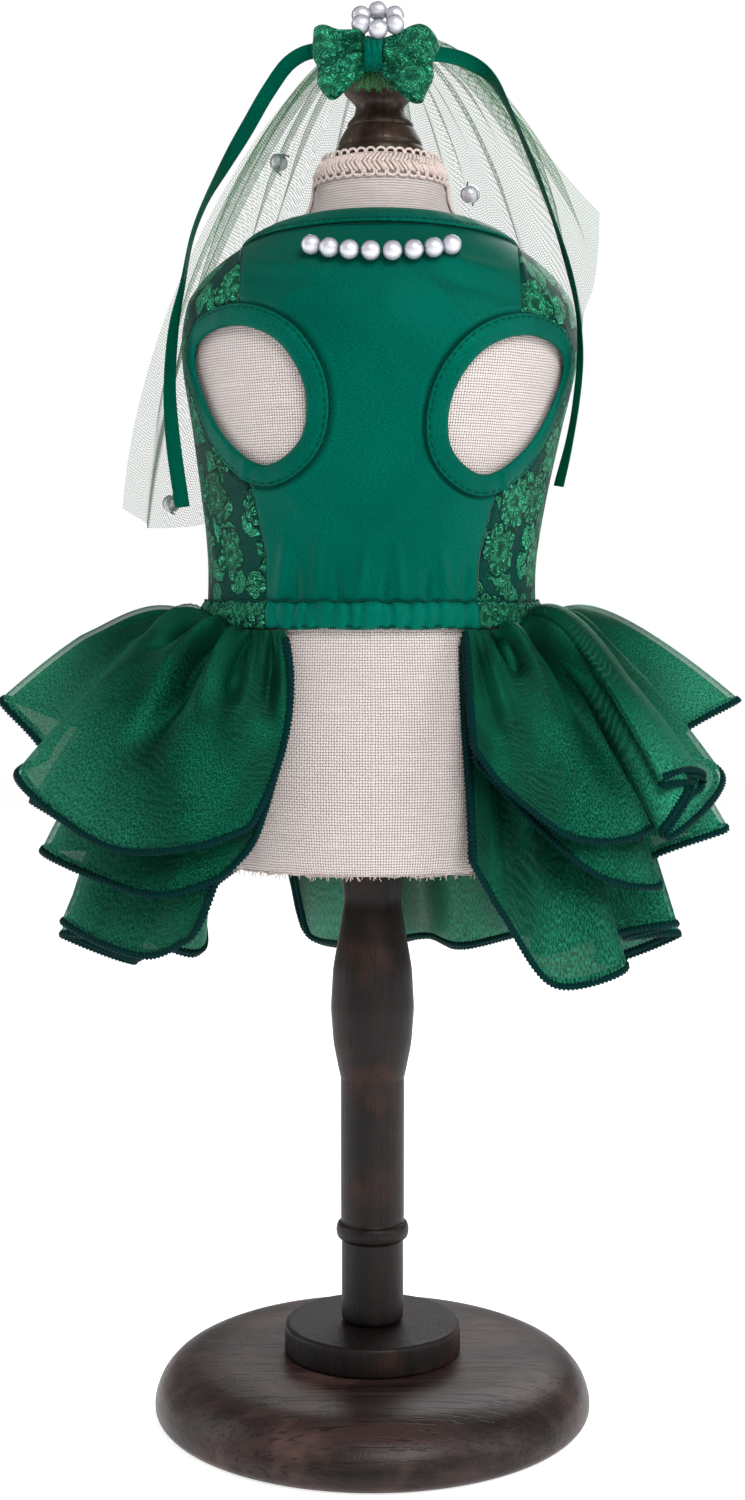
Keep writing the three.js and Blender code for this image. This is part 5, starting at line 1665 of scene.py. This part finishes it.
# ---------------------------------------------------------------------------------------------
# The studio floor: a plain pale sweep of painted board that the stand's base stands on, bright
# enough to carry on into the white room behind it.
floor_paint, tree, shader = finish(
    "floor", Roughness=0.8, Specular_IOR_Level=0.0, Base_Color=(0.85, 0.85, 0.85, 1),
    Emission_Color=(1, 1, 1, 1), Emission_Strength=0.75,
)
bpy.ops.mesh.primitive_plane_add(size=6, location=(0, 0, -0.0005))
floor = bpy.context.object
floor.name = "floor"
floor.data.materials.append(floor_paint)

# ---------------------------------------------------------------------------------------------
# What each sheet was cut from before it was folded, gathered or hung, and the pieces it rests on.
FLAT_CUTS = (
    # piece, flat width and length in metres, area if the cut isn't a rectangle, how held, what it rests on
    ("belly_panel_cloth", (0.125, 0.148), 0.0152, "stretched", ("form_linen_cover",)),
    ("back_panel_cloth", (0.345, 0.148), 0.0430, "stretched", ("form_linen_cover",)),
    ("neck_binding_band", (0.300, 0.0125), None, "folded", ("back_panel_cloth", "belly_panel_cloth")),
    ("leg_binding_left_band", (0.185, 0.0115), None, "folded", ("belly_panel_cloth", "back_panel_cloth")),
    ("leg_binding_right_band", (0.185, 0.0115), None, "folded", ("belly_panel_cloth", "back_panel_cloth")),
    ("waist_casing_satin", (0.098, 0.0145), None, "gathered", ("form_linen_cover",)),
    ("waist_casing_brocade", (0.345, 0.0145), None, "gathered", ("form_linen_cover",)),
    ("skirt_top_outer", (0.98, 0.083), None, "gathered", ("waist_casing_brocade",)),
    ("skirt_top_inner", (0.96, 0.081), None, "gathered", ("waist_casing_brocade",)),
    ("skirt_middle_outer", (0.92, 0.092), None, "gathered", ("waist_casing_brocade",)),
    ("skirt_middle_inner", (0.90, 0.090), None, "gathered", ("waist_casing_brocade",)),
    ("skirt_under_outer", (0.85, 0.122), None, "gathered", ("waist_casing_brocade",)),
    ("skirt_under_inner", (0.84, 0.120), None, "gathered", ("waist_casing_brocade",)),
    ("veil_net", (0.36, 0.225), 0.0520, "gathered", ("form_linen_cover", "bow_knot_band")),
    ("veil_gather", (0.060, 0.0105), None, "gathered", ("bow_knot_band",)),
    ("bow_loop_left_cloth", (0.052, 0.027), None, "folded", ("bow_knot_band",)),
    ("bow_loop_right_cloth", (0.056, 0.027), None, "folded", ("bow_knot_band",)),
    ("bow_knot_band", (0.036, 0.010), 0.00030, "folded", ("bow_loop_left_cloth", "bow_loop_right_cloth")),
    ("ribbon_left_strip", (0.010, 0.222), 0.00145, "hung", ("bow_knot_band",)),
    ("ribbon_right_strip", (0.010, 0.220), 0.00145, "hung", ("bow_knot_band",)),
)
for name, flat, area, held, rests_on in FLAT_CUTS:
    hem = [name + "_overlock"] if name.startswith("skirt") else []
